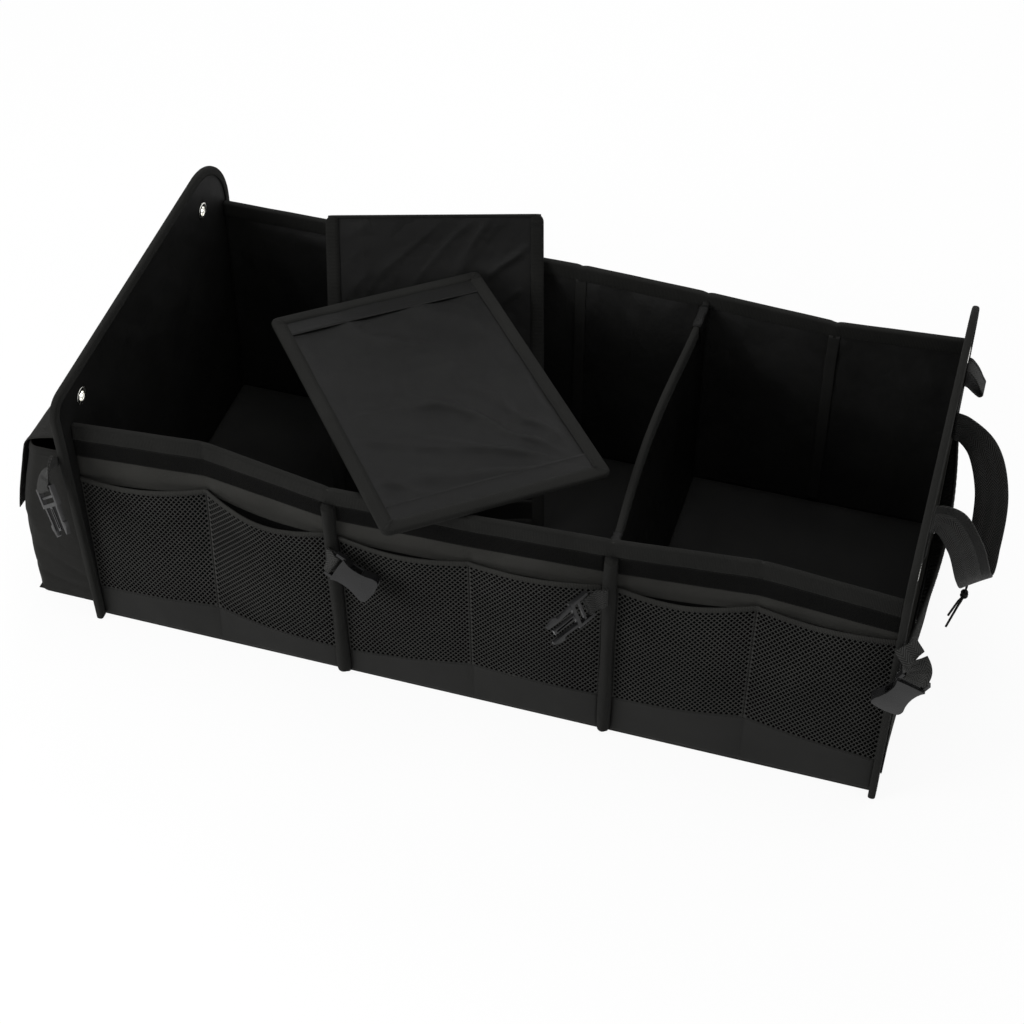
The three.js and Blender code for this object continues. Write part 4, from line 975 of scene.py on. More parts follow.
def sewPockets():
    for index, section in enumerate(sectionNames):
        x0, x1 = pocketEnds(index)
        xm = middleOf(index)
        seams = [x0, xm, x1]

        def onFront(x, z, out=0.0):
            return x, -(halfWidth + standOff(x, z, seams) + leanAt(-1, x, z) + out), z

        def bandTop(x):
            return atFold(pockets["bandAtFold"], x)

        def tapeLow(x):
            return mouthAt(x, seams) - pockets["tapeHeight"]

        def slack(x, z, seed):
            away = smooth(swell(x, seams), 0.05, 0.6)
            return away * (1.3 * rumple(x, z, size=45, seed=seed)
                           + 0.5 * rumple(x, z, size=18, seed=seed + 1))

        for half, (a, b) in enumerate(((x0, xm), (xm, x1))):
            edge = pockets["seamGap"]
            lowX, highX = a + (edge if half else 0), b - (0 if half else edge)

            def netPlace(u, v):
                x = mix(lowX, highX, u)
                z = mix(bandTop(x) - 2, tapeLow(x) + 3, v)
                return onFront(x, z, 0.55 + slack(x, z, index + half) * 0.8)

            side = "left" if half == 0 else "right"
            piece = f"mesh_pocket_{section}_{side}"
            netSheet(piece, netPlace, highX - lowX, 165, pockets["netPitch"], pockets["strand"],
                     pockets["netThickness"], net, "net", replaces=[f"mesh_pocket_{section}"])

        # painted shade: a near-black sheet just in front of the wall and behind the nets, where the
        # nets shadow the wall cloth
        def netShadowPlace(u, v):
            x = mix(x0 + 1, x1 - 1, u)
            z = mix(bandTop(x) - 12, tapeLow(x) - 1, v)
            return x, -(halfWidth + 0.35 + leanAt(-1, x, z)), z

        gridShell(f"pocket_net_shadow_{section}_cloth", netShadowPlace, 40, 16, 0.4, netShadowCloth, "oxford",
                  lambda u, v, p: -0.6 * math.exp(-((p[0] - xm) / 3.5) ** 2), under=1.0)

        def band(u, v):
            x = mix(x0, x1, u)
            z = mix(pockets["bandBottom"], bandTop(x), v)
            return onFront(x, z, pockets["thickness"])

        def bandBump(u, v, p):
            x, z = p[0], p[2]
            crease = 1.1 * math.exp(-((x - xm) / 3.0) ** 2)
            top = 0.5 * math.exp(-((1 - v) / 0.05) ** 2)
            gather = 0.5 * (1 - v) ** 3 * math.sin(x / 5.5 + rumple(x, 0, size=30) * 3)
            return top - crease * (0.35 + 0.65 * v) + 0.45 * slack(x, z, index + 20) + gather * 0.5

        gridShell(f"lower_band_{section}_cloth", band, 76, 16, pockets["thickness"], coated, "nylon",
                  bandBump, under=1.0, replaces=[f"lower_band_{section}"])
        seam = [Vector(onFront(x, bandTop(x) - 2.4, pockets["thickness"] + 0.5))
                for x in np.linspace(x0 + 1, x1 - 1, 60)]
        sewAlong("bands", seam, Vector((0, -1, 0)))

        def mouth(u, v):
            x = mix(x0, x1, u)
            z = mix(tapeLow(x), mouthAt(x, seams), v)
            return onFront(x, z, 2.55)

        def mouthBump(u, v, p):
            crown = 0.35 * math.sin(math.pi * v)
            crease = 0.9 * math.exp(-((p[0] - xm) / 2.2) ** 2)
            return crown - crease + 0.3 * rumple(p[0], v * 6, size=16, seed=index)

        gridShell(f"pocket_mouth_{section}_tape", mouth, 110, 5, 2.3, mouthTape, "tape", mouthBump,
                  under=0.6, replaces=[f"pocket_binding_{section}"])
        line = [Vector(onFront(x, tapeLow(x) + 1.5, 2.75)) for x in np.linspace(x0 + 1, x1 - 1, 70)]
        sewAlong("mouths", line, Vector((0, -1, 0)))

        # stitches down the crease between the two pockets
        line = [Vector(onFront(xm, z, 1.6)) for z in np.linspace(8, mouthAt(xm, seams) - 2, 50)]
        sewAlong("creases", line, Vector((0, -1, 0)), pitch=3.2)


sewPockets()


# Hook strips: a woven ground thick with small hooks, edged by plain selvage
hooks = {"height": 23, "ground": 0.7, "hook": 0.85, "halfHook": 0.34, "pitch": 2.1, "selvage": 1.6}


def layHooks():
    top = box["height"] - box["bindingDrop"] - 0.3
    bottom = top - hooks["height"]
    for index, section in enumerate(sectionNames):
        x0, x1 = pocketEnds(index)

        def ground(u, v):
            x, z = mix(x0, x1, u), mix(bottom, top, v)
            return x, -(halfWidth + box["gap"] + hooks["ground"] + leanAt(-1, x, z)), z

        def lift(u, v, p):
            selvage = 0.35 * (1 - smooth(min(v, 1 - v), 0.02, 0.09))
            return selvage + 0.3 * rumple(p[0], p[2], size=30, seed=index)

        gridShell(f"hook_strip_{section}_ground", ground, 70, 8, hooks["ground"], hookTape,
                  "hook", lift, under=0.0, replaces=[f"hook_strip_{section}"])
        points, faces, uvs = [], [], []
        random.seed(40 + index)
        row, z = 0, bottom + hooks["selvage"] + 0.8
        while z < top - hooks["selvage"] - 0.4:
            x = x0 + 1.4 + (row % 2) * hooks["pitch"] / 2
            while x < x1 - 1.4:
                px, pz = x + random.uniform(-0.3, 0.3), z + random.uniform(-0.25, 0.25)
                y = -(halfWidth + box["gap"] + hooks["ground"] + leanAt(-1, px, pz) - 0.1
                      + 0.3 * rumple(px, pz, size=30, seed=index))
                high = hooks["hook"] * random.uniform(0.75, 1.15)
                r, bend = hooks["halfHook"], random.uniform(-0.45, 0.45)
                k = len(points)
                points += [(px - r, y, pz - r), (px + r, y, pz - r),
                           (px + r, y, pz + r), (px - r, y, pz + r),
                           (px - r * 0.7 + bend, y - high, pz - r * 0.6),
                           (px + r * 0.7 + bend, y - high, pz - r * 0.6),
                           (px + bend, y - high * 0.8, pz + r)]
                faces += [(k, k + 1, k + 5, k + 4), (k + 1, k + 2, k + 6, k + 5), (k + 2, k + 3, k + 6),
                          (k + 3, k, k + 4, k + 6), (k + 4, k + 5, k + 6), (k + 3, k + 2, k + 1, k)]
                uvs += [(px * mm, pz * mm)] * 7
                x += hooks["pitch"]
            z += hooks["pitch"] * 0.86
            row += 1
        makePiece(f"hook_strip_{section}_hooks", points, faces, hookTape, "hook", uvs)
        for zz in (bottom + 0.9, top - 0.9):
            line = [Vector((x, -(halfWidth + 1.75 + leanAt(-1, x, zz)), zz))
                    for x in np.linspace(x0 + 1, x1 - 1, 60)]
            sewAlong("hooks", line, Vector((0, -1, 0)))


layHooks()
print("long walls, ribs, pockets and hook strips")


# End walls, taller than the long ones, bound all round and pierced by four eyelets
ends = {
    "frontBottom": 13, "frontTop": 30, "back": 13, "frontHeight": 341, "backHeight": 366,
    "frontRadius": 26, "backRadius": 78, "bindingWidth": 10, "cloth": 2.4,
    "eyelets": {"front": (-180.5, 305), "back": (151.5, 316)}, "holeRadius": 6.6,
}


def endOutline(inset, low, arcSteps=14):
    backY = halfWidth + ends["back"] - inset
    high, lower = ends["backHeight"] - inset, ends["frontHeight"] - inset
    far, near = ends["backRadius"] - inset, ends["frontRadius"] - inset
    frontTop = -halfWidth - ends["frontTop"] + inset
    frontLow = -halfWidth - ends["frontBottom"] + inset
    points = [(backY, low)]
    for k in range(arcSteps + 1):
        t = math.pi / 2 * k / arcSteps
        points.append((backY - far + far * math.cos(t), high - far + far * math.sin(t)))
    for k in range(arcSteps + 1):
        t = math.pi / 2 + math.pi / 2 * k / arcSteps
        points.append((frontTop + near + near * math.cos(t), lower - near + near * math.sin(t)))
    points.append((frontLow, low))
    return points


def ringOfPoints(y, z, radius, count=28):
    turns = [2 * math.pi * k / count for k in range(count)]
    return [(y + radius * math.cos(t), z + radius * math.sin(t)) for t in turns]


def spaced(loop, step):
    points = []
    for a, b in zip(loop, loop[1:] + loop[:1]):
        count = max(1, int(math.dist(a, b) / step))
        points += [(mix(a[0], b[0], k / count), mix(a[1], b[1], k / count)) for k in range(count)]
    return points


def sewEnds():
    holes = [ringOfPoints(y, z, ends["holeRadius"]) for y, z in ends["eyelets"].values()]
    outline = spaced(endOutline(1.6, 1.9), 8)
    for name, side in (("left", -1), ("right", 1)):
        middle = side * (halfLength - halfWall)

        def calm(y, z):
            # 0 by the eyelets and the edges, where the cloth is held flat
            quiet = 1.0
            for ey, ez in ends["eyelets"].values():
                quiet *= smooth(math.hypot(y - ey, z - ez), 11, 40)
            reach = halfWidth + ends["back"]
            toEdge = min(y + reach, reach - y, ends["frontHeight"] - z)
            return quiet * smooth(z, 12, 50) * smooth(toEdge, 12, 38)

        def outerBump(y, z):
            return -0.15 + calm(y, z) * (0.12 * rumple(y, z, size=60, seed=side))

        def innerBump(y, z):
            soft = 0.9 * rumple(y, z, size=95, seed=side + 6) + 0.3 * rumple(y, z, size=30, seed=2)
            creases = 1.0 * fold(y, z, 60, 3.0, 0.9, side + 9)
            inBox = smooth(halfWidth - 12 - abs(y), 0, 26)
            return -0.1 + calm(y, z) * inBox * (soft + creases)

        platePiece(f"end_wall_{name}_cloth", outline, holes, 9,
                   lambda y, z, c: (middle + side * (halfWall + c), y, z), ends["cloth"],
                   oxford, "oxford", outerBump, replaces=[f"end_wall_{name}"])
        platePiece(f"end_wall_{name}_lining", outline, holes, 7.5,
                   lambda y, z, c: (middle - side * (halfWall + c), y, z), ends["cloth"],
                   matteLining, "lining", innerBump)

        steps = 240
        rim = evenly([Vector((middle, y, z)) for y, z in endOutline(0, 2.6, 16)], steps)
        stations = []
        for k, p in enumerate(rim):
            way = (rim[min(k + 1, steps)] - rim[max(k - 1, 0)]).normalized()
            out = Vector((-1, 0, 0)).cross(way).normalized()
            wave = 0.5 * rumple(k * 7.0, side * 9.0, size=45, seed=5)
            stations.append((p - out * (0.25 + 0.2 * wave), Vector((1, 0, 0)), out))

        def pucker(s, a, b):
            low = smooth(-b, 4, 10)
            return (0.28 * low * math.copysign(1, a) * rumple(s, b, size=8, seed=side + 2),
                    0.4 * low * rumple(s, a, size=20, seed=8))

        section = channelSection(2.78, box["tape"], ends["bindingWidth"], 2.8)
        sweepPiece(f"end_binding_{name}_tape", stations, section, tape, "tape", pucker,
                   replaces=[f"end_binding_{name}"])
        for facing in (-1, 1):
            line = [o + a * facing * 4.05 - up * 7.8 for o, a, up in stations[1:-1]]
            sewAlong("ends", line, Vector((facing, 0, 0)))


sewEnds()


# Eyelets: pressed metal rings with a rolled lip on both faces
eyeletShape = {"hole": 5.5, "flange": 10, "half": 3.6, "roll": 0.95}


def pressEyelets():
    flange, hole, half, roll = (eyeletShape[k] for k in ("flange", "hole", "half", "roll"))
    lip = []
    for k in range(9):
        t = math.pi * k / 8
        lip.append((half - roll + roll * (0.35 + 0.75 * math.sin(t)),
                    mix(flange, hole, 0.5 - 0.5 * math.cos(t))))
    profile = lip + [(1.2, hole - 0.05), (-1.2, hole - 0.05)]  # one lip, the hole's wall, the other
    profile += [(-a, r) for a, r in reversed(lip)]
    profile += [(-half + 0.85, flange - 0.4), (-half + 0.8, hole + 0.8),
                (half - 0.8, hole + 0.8), (half - 0.85, flange - 0.4)]
    for name, side in (("left", -1), ("right", 1)):
        for at, (y, z) in ends["eyelets"].items():
            middle = Vector((side * (halfLength - halfWall), y, z))
            stations = []
            for k in range(40):
                t = 2 * math.pi * k / 40
                stations.append((middle, Vector((1, 0, 0)), Vector((0, math.cos(t), math.sin(t)))))
            sweepPiece(f"eyelet_{name}_{at}_ring", stations, profile, steel, "steel",
                       closed=True, replaces=[f"eyelet_{name}_{at}"])


pressEyelets()


# Base: a woven skin under three covered boards
def layBase():
    def skin(u, v):
        return mix(-halfLength, halfLength, v), mix(-halfWidth, halfWidth, u), 0.0

    def skinBump(u, v, p):
        rim = smooth(min(u, 1 - u, v * 2, 2 - v * 2), 0.0, 0.06)
        return -(0.25 + 0.2 * rumple(p[0], p[1], size=70, seed=2)) * rim

    gridShell("base_skin_cloth", skin, 40, 64, 1.5, oxford, "oxford", skinBump, under=0.0,
              replaces=["base_skin"])
    for index, section in enumerate(sectionNames):
        x0, x1 = sectionEnds(index, 1.2)
        y0, y1 = -halfWidth + 6.2, halfWidth - 6.2
        xm = middleOf(index)

        def board(u, v):
            return mix(x0, x1, u), mix(y0, y1, v), box["floorTop"] - 0.2

        def boardBump(u, v, p):
            edge = 1.3 * math.exp(-(min(p[0] - x0, x1 - p[0], p[1] - y0, y1 - p[1]) / 3.0) ** 2)
            crease = 1.1 * math.exp(-((p[0] - xm) / 3.0) ** 2)
            return -edge - crease + 0.15 + 0.16 * rumple(p[0], p[1], size=60, seed=index)

        gridShell(f"base_board_{section}_cover", board, 70, 42, 3.8, boardCloth, "lining", boardBump,
                  under=0.0, replaces=[f"base_board_{section}"])
        for xx in (x0 + 7, x1 - 7):
            line = [Vector((xx, y, box["floorTop"] + 0.1)) for y in np.linspace(y0 + 8, y1 - 8, 60)]
            sewAlong("boards", line, Vector((0, 0, 1)))


layBase()
print("end walls, eyelets and base")


# Divider in place between the middle and right sections
divider = {"x": 150, "height": 251, "endRise": 24, "bow": 15, "half": 2, "tape": 15, "endGap": 2.4}


def dividerPlace(share, height, offset):
    z = box["floorTop"] + 0.3 + height

    def reach(side):
        return side * (halfWidth - box["wall"] - divider["endGap"] + leanAt(side, divider["x"], z))

    bow = divider["bow"] * (1 - (2 * share - 1) ** 2) * z / box["height"]
    return Vector((divider["x"] + offset - bow, mix(reach(-1), reach(1), share), z))


def dividerTop(share):
    return divider["height"] + divider["endRise"] * abs(2 * share - 1) ** 6


def hangDivider():
    def face(u, v):
        return dividerPlace(u, v * (dividerTop(u) - 2.2), divider["half"])

    def drape(u, v, p):
        rim = smooth(min(u, 1 - u), 0, 0.08) * smooth(min(v, 1 - v), 0, 0.1)
        return rim * (0.9 * rumple(p[1], p[2], size=60, seed=31)
                      + 1.2 * fold(p[1], p[2], 42, 3.2, 0.5, 12) - 0.3)

    gridShell("divider_cover", face, 80, 50, 2 * divider["half"], nylon, "nylon", drape, under=0.4,
              replaces=["divider"])
    stations, steps = [], 150
    for k in range(steps + 1):
        share = k / steps
        crest = dividerPlace(share, dividerTop(share), 0)
        foot = dividerPlace(share, dividerTop(share) - divider["tape"], 0)
        stations.append((crest, Vector((-1, 0, 0)), (crest - foot).normalized()))

    def pucker(s, a, b):
        return 0.25 * smooth(-b, 5, 15) * math.copysign(1, a) * rumple(s, b, size=9), 0

    section = channelSection(divider["half"] + 0.3, box["tape"], divider["tape"], 2.2)
    sweepPiece("divider_tape", stations, section, tape, "tape", pucker, replaces=["divider_binding"])
    for facing in (-1, 1):
        line = [o + a * facing * 3.6 - up * 12.6 for o, a, up in stations[2:-2]]
        sewAlong("divider", line, Vector((-facing, 0, 0)))
    for name, first in (("front", 2), ("back", 139)):  # gathered tabs over both ends
        over = [(o + up * 1.1, a, up) for o, a, up in stations[first:first + 10]]
        sweepPiece(f"divider_tab_{name}", over, channelSection(divider["half"] + 2.0, 1.0, 24, 2.6),
                   nylon, "nylon",
                   lambda s, a, b: (0.9 * math.copysign(1, a) * math.sin(s / 1.15 + b * 0.09) ** 2,
                                    0.5 * math.sin(s / 1.9)))


hangDivider()


# Loose dividers: a covered board with a sleeve at both ends and tape folded round its edge
loose = {
    "length": 378, "width": 251, "half": 2, "tape": 15, "sleeve": 23, "corner": 9,
    "leaningYaw": 17.7, "leaningCorner": (3, 58), "lyingYaw": 39.1, "lyingCentre": (-92, -53),
    "halfDepth": 3.5, "rest": 0.9,  # half the taped edge's depth, and the gap where it rests
    "leaningTopTape": 3.2,
}


def looseFrames():
    # origin, across, facing and along of both panels, as they rest on the box
    halfDepth, rest, top = loose["halfDepth"], loose["rest"], box["height"]
    yaw, width, length = math.radians(loose["leaningYaw"]), loose["width"], loose["length"]
    cx, cy = loose["leaningCorner"]
    rimX = cx - width * 0.2
    rimY = halfWidth + leanAt(1, rimX, top) - box["wall"] - box["gap"] - box["tape"]
    run = (rimY - cy) / math.cos(yaw)
    climb = top - box["floorTop"] - rest - halfDepth
    lean = math.atan2(climb, run) + math.asin((halfDepth + rest) / math.hypot(run, climb))
    across = Vector((math.cos(yaw), math.sin(yaw), 0))
    along = Vector((-math.sin(yaw) * math.cos(lean), math.cos(yaw) * math.cos(lean),
                    math.sin(lean)))
    facing = across.cross(along)
    foot = Vector((cx, cy, box["floorTop"] + rest + halfDepth * math.cos(lean)))
    leaning = (foot - across * (width / 2) + along * (length / 2), across, facing, along)

    yaw = math.radians(loose["lyingYaw"])
    lx, ly = loose["lyingCentre"]
    cornerX = lx + (width * math.cos(yaw) - length * math.sin(yaw)) / 2
    cornerY = ly + (width * math.sin(yaw) + length * math.cos(yaw)) / 2
    offset = facing.dot(foot) + halfDepth + rest
    cornerZ = (offset - facing.x * cornerX - facing.y * cornerY) / facing.z
    pivotX = lx + width * 0.35
    pivotY = -(halfWidth + leanAt(-1, pivotX, top) - box["wall"] - box["gap"] - box["tape"])
    tilt = math.atan2(cornerZ - top - rest, cornerY - pivotY)
    lift = top + rest + halfDepth / math.cos(tilt) + (ly - pivotY) * math.tan(tilt)
    centre = Vector((lx, ly, lift))
    turn = Matrix.Rotation(tilt, 3, "X") @ Matrix.Rotation(yaw, 3, "Z")
    lying = (centre, turn @ Vector((1, 0, 0)), turn @ Vector((0, 0, 1)), turn @ Vector((0, 1, 0)))
    return {"leaning": leaning, "lying": lying}


def foldTape(name, at, ring, inset, topInset, heights, overlap, **kind):
    # tape folded round a rectangle's edge: its profile runs from the window to the edge and back
    under, edge, crown = heights
    profile = [(0, edge), (0.35, crown), (0.85, crown - 0.05), (0.965, crown - 0.75),
               (1.0, crown - 2.2), (1.0, 2.2 - crown), (0.965, 0.75 - crown),
               (0.85, 0.05 - crown), (0.35, -crown), (0, -edge), (0, -under),
               (0.88, -under), (0.92, 0), (0.88, under), (0, under)]
    windowA, windowB = loose["width"] / 2 - inset, loose["length"] / 2 - inset
    points, uvs, faces = [], [], []
    travel, n = 0.0, len(profile)
    for k, (a, b, turn) in enumerate(ring):
        if k:
            travel += math.dist(ring[k - 1][:2], (a, b))
        qa, qb = clamp(a, -windowA, windowA), clamp(b, -windowB, loose["length"] / 2 - topInset)
        wob = 0.6 * rumple(a, b, size=26, seed=1)
        mitre = 0.45 * math.exp(-(turn / 0.22) ** 2) if turn is not None else 0
        extra = 0.75 if overlap and overlap(a, b) else 0
        for f, c in profile:
            inner = 1 - f
            g = f - wob / inset * inner
            pa, pb = mix(qa, a, g), mix(qb, b, g)
            lift = 0.22 * rumple(pa, pb, c, size=11, seed=4) * inner
            double = extra if f < 0.96 and abs(c) > 2.6 else 0  # where the tape's ends overlap
            points.append(at(pa, pb, c + math.copysign(lift + double - mitre, c)))
            uvs.append((travel * mm, (inset * f + c) * mm))
    count = len(ring)
    for s in range(count):
        for k in range(n):
            t = (s + 1) % count
            faces.append((s * n + k, s * n + (k + 1) % n, t * n + (k + 1) % n, t * n + k))
    return makePiece(name, points, faces, tape, "tape", uvs, **kind)


def roundedRing(width, length, r, step=5):
    ring = []
    corners = [(1, 1, 0), (-1, 1, 90), (-1, -1, 180), (1, -1, 270)]
    for index, (sa, sb, start) in enumerate(corners):
        ca, cb = sa * (width / 2 - r), sb * (length / 2 - r)
        for k in range(11):
            t = math.radians(start + 9 * k)
            ring.append((ca + r * math.cos(t), cb + r * math.sin(t), math.radians(9 * k - 45)))
        na, nb, _ = corners[(index + 1) % 4]
        t = math.radians(start + 90)
        a0, b0 = ca + r * math.cos(t), cb + r * math.sin(t)
        a1 = na * (width / 2 - r) + r * math.cos(t)
        b1 = nb * (length / 2 - r) + r * math.sin(t)
        count = int(math.dist((a0, b0), (a1, b1)) / step)
        ring += [(mix(a0, a1, k / count), mix(b0, b1, k / count), None) for k in range(1, count)]
    return ring


def makeLooseDividers():
    width, length = loose["width"], loose["length"]
    for name, (origin, across, facing, along) in looseFrames().items():
        lying = name == "lying"

        def at(a, b, c):
            return origin + across * a + along * b + facing * c

        panelA, panelB = width / 2 - 4, length / 2 - 4
        panelTop = panelB if lying else length / 2 - 1.2
        topTape = loose["tape"] if lying else loose["leaningTopTape"]

        def face(u, v):
            return at(mix(-panelA, panelA, u), mix(-panelB, panelTop, v), loose["half"])

        def drape(u, v, p):
            a, b = mix(-panelA, panelA, u), mix(-panelB, panelTop, v)
            above = panelTop - b + (0 if lying else 14)
            rim = smooth(min(panelA - abs(a), panelB + b, above), 8, 34)
            if lying:  # soft folds that fan out from the right-hand end of the foot sleeve
                reach = math.hypot(a - 118, b + 175)
                angle = math.atan2(b + 175, 118 - a)
                fan = (0.5 + 0.5 * math.cos(angle * 21 + 2.2 * rumple(a, b, size=60, seed=5))) ** 3
                rays = fan * smooth(reach, 30, 90) * (1 - smooth(reach, 190, 330))
                broad = 2.6 * rumple(a, b, size=58, seed=7) + 0.9 * rumple(a, b, size=26, seed=9)
                return rim * (broad + 3.4 * rays + 1.8 * fold(a, b, 52, 2.2, 1.1, 15) - 0.8)
            top = smooth(b, 20, 150)
            right = smooth(a, 10, 100)
            crease = fold(a, b, 30, 3.6, -0.7, 4) * top * (0.4 + right)
            pull = fold(a, b, 26, 4.5, 0.15, 21) * smooth(-a, 60, 110) * top
            return rim * (1.1 * rumple(a, b, size=80, seed=17) + 1.7 * crease + 1.5 * pull)

        gridShell(f"loose_divider_{name}_cover", face, 84, 122, 2 * loose["half"], nylon, "nylon",
                  drape, under=0.15, replaces=[f"loose_divider_{name}"])
        for end in ((-1, 1) if lying else (-1,)):
            edge = end * (length / 2 - loose["tape"] + 3)
            inner = edge - end * (loose["sleeve"] + 3)
            reach = width / 2 - loose["tape"] + 2

            def sleeve(u, v):
                a = mix(-reach, reach, u)
                b = mix(min(edge, inner), max(edge, inner), v)
                mouth = 1 - abs(b - inner) / abs(edge - inner)
                gape = 1.1 * math.sin(math.pi * u) ** 0.6 * mouth ** 2
                return at(a, b + 0.7 * rumple(a, 0, size=40, seed=end) * mouth, 2.95 + gape)

            def sleeveBump(u, v, p):
                hem = v if end > 0 else 1 - v
                roll = 0.3 * math.exp(-((hem - 0.06) / 0.06) ** 2)
                return roll + 0.25 * rumple(u * reach * 2, v * 20, size=24, seed=end + 3)

            place = "top" if end > 0 else "foot"
            gridShell(f"loose_divider_{name}_sleeve_{place}", sleeve, 70, 8, 0.8,
                      nylon, "nylon", sleeveBump, under=1.0)
            line = [at(a, inner + end * 3.0, 3.25 + 0.9 * math.sin(math.pi * k / 60) ** 0.6)
                    for k, a in enumerate(np.linspace(-reach + 2, reach - 2, 61))]
            sewAlong("loose_" + name, line, facing)

        ring = roundedRing(width, length, loose["corner"])
        lapLow, lapHigh = (-4, 15) if lying else (40, 58)

        def overlap(a, b):
            return a < -width / 2 + 16 and lapLow < b < lapHigh

        foldTape(f"loose_divider_{name}_tape", at, ring, loose["tape"], topTape, (2.35, 3.35, 3.5),
                 overlap, replaces=[f"loose_divider_{name}_binding"])
        seamA, seamB = width / 2 - loose["tape"] + 2.6, length / 2 - loose["tape"] + 2.6
        for c in (3.62, -3.62):
            seamTop = seamB if lying else length / 2 - 4
            corners = [(-seamA, seamTop), (-seamA, -seamB), (seamA, -seamB), (seamA, seamTop)]
            corners += corners[:1] if lying else []
            for (a0, b0), (a1, b1) in zip(corners, corners[1:]):
                line = [at(mix(a0, a1, k / 40), mix(b0, b1, k / 40), c) for k in range(41)]
                sewAlong("loose_" + name, line, facing * math.copysign(1, c))


makeLooseDividers()
print("dividers")


# Cargo pocket on the left end: a gusseted bag under a hanging flap
cargo = {
    "width": 404, "corner": 13, "bottom": 3.2, "mouth": 235, "thickness": 1.9,
    "depth": [(3, 85), (70, 86.5), (130, 86), (180, 75), (235, 61)],
    "flapWidth": 392, "flapThickness": 1.8, "flapLine": [
        (-450.5, 238), (-450.6, 250), (-453.4, 254.2), (-466, 252.4), (-482, 248.6), (-498, 244),
        (-511, 238.6), (-516.4, 232), (-522, 212), (-529.6, 182), (-535.6, 156), (-540.2, 129.5)],
}


def depthAt(z):
    heights, depths = zip(*cargo["depth"])
    return float(np.interp(z, heights, depths))


def hangCargoPocket():
    half, r = cargo["width"] / 2, cargo["corner"]

    def walk(u, z):
        d = depthAt(z)
        legs = [d - r, math.pi / 2 * r, 2 * (half - r), math.pi / 2 * r, d - r]
        s = u * sum(legs)
        x0 = -halfLength - 0.4
        if s <= legs[0]:
            return x0 - s, half
        s -= legs[0]
        if s <= legs[1]:
            t = s / r
            return x0 - (d - r) - r * math.sin(t), half - r + r * math.cos(t)
        s -= legs[1]
        if s <= legs[2]:
            return x0 - d, half - r - s
        s -= legs[2]
        if s <= legs[3]:
            t = s / r
            return x0 - (d - r) - r * math.cos(t), -half + r - r * math.sin(t)
        return x0 - (legs[4] - (s - legs[3])), -half

    def shell(u, v):
        z = mix(cargo["bottom"], cargo["mouth"], v)
        sag = 3.0 * math.sin(math.pi * u) ** 4 * smooth(v, 0.7, 1)
        x, y = walk(u, z)
        return x, y, z - sag

    def drape(u, v, p):
        x, y, z = p
        body = smooth(v, 0, 0.1) * smooth(min(u, 1 - u), 0, 0.03)
        s = u * 560
        belly = 2.4 * math.sin(math.pi * clamp(v * 1.2)) * math.sin(math.pi * u) ** 2
        folds = 2.2 * fold(s, z, 60, 2.6, 0.25, 41) * smooth(z, 20, 120)
        low = 1.6 * fold(s, z, 34, 2.2, 1.2, 44) * (1 - smooth(z, 20, 110))
        hem = 0.7 * (smooth(v, 0.945, 0.955) - smooth(v, 0.985, 1))
        return body * (belly * 0.6 - folds - low + 0.8 * rumple(s, z, size=40, seed=6)) + hem

    gridShell("cargo_pocket_cloth", shell, 162, 72, cargo["thickness"], bagCloth, "oxford", drape,
              under=1.0, replaces=["cargo_pocket"])

    def bottom(u, v):
        x = mix(-halfLength - 84.5, -halfLength - 1, v)
        return x, mix(-half + 1.5, half - 1.5, u), cargo["bottom"]

    gridShell("cargo_pocket_bottom", bottom, 40, 10, cargo["thickness"], bagCloth, "oxford",
              lambda u, v, p: 0.2 * rumple(p[0], p[1], size=30) - 0.3, under=0.5)
    mouth, outs = [], []
    seamZ = cargo["mouth"] - 9
    for u in np.linspace(0.01, 0.99, 90):
        out = (0, 1, 0) if u < 0.12 else (0, -1, 0) if u > 0.88 else (-1, 0, 0)
        outs.append(Vector(out))
        mouth.append(Vector((*walk(u, seamZ), seamZ - 3.0 * math.sin(math.pi * u) ** 4)) + outs[-1])
    sewAlong("cargo", mouth, outs)

    steps = 60
    line = evenly([Vector((x, 0, z)) for x, z in reversed(cargo["flapLine"])], steps)
    halfFlap = cargo["flapWidth"] / 2
    total = lengthOf(line)

    def flap(u, v):
        k = v * steps
        i = min(int(k), steps - 1)
        p = line[i].lerp(line[i + 1], k - i)
        y = mix(halfFlap, -halfFlap, u)
        free = 1 - smooth(v, 0.0, 0.62)
        wave = 1.7 * math.sin(y / 31 + 1.2) + 1.3 * math.sin(y / 13.5) * free
        droop = 2.2 * free * rumple(y, 0, size=70, seed=9)
        return p.x - 0.6 + free * wave, y, p.z + droop

    def flapBump(u, v, p):
        hem = 0.5 * (1 - smooth(v, 0.045, 0.055))
        hem += 0.5 * (1 - smooth(min(u, 1 - u), 0.018, 0.022))
        return min(hem, 0.5) + 0.35 * rumple(p[1], p[2], size=22, seed=3)

    sheet = gridShell("cargo_flap_cloth", flap, 120, 50, cargo["flapThickness"] - 0.6, bagCloth,
                      "oxford", flapBump, under=0.9, replaces=["cargo_flap"])
    hem = [Vector(flap(u, 0.06)) + Vector((-0.8, 0, 0)) for u in np.linspace(0.02, 0.98, 90)]
    sewAlong("cargo", hem, Vector((-1, 0, 0)))


hangCargoPocket()


# Net pocket on the right end, gathered along its mouth by the drawcord
netPocket = {
    "width": 372, "height": 196, "bulge": 16, "hem": 14, "hemThickness": 4, "low": 4,
    "netPitch": (6.4, 6.8), "strand": 0.75, "netThickness": 0.6,
}


def netOff(y, z):
    share = clamp((y + netPocket["width"] / 2) / netPocket["width"])
    return netPocket["bulge"] * math.sin(math.pi * share) * clamp(z / netPocket["height"]) ** 0.6


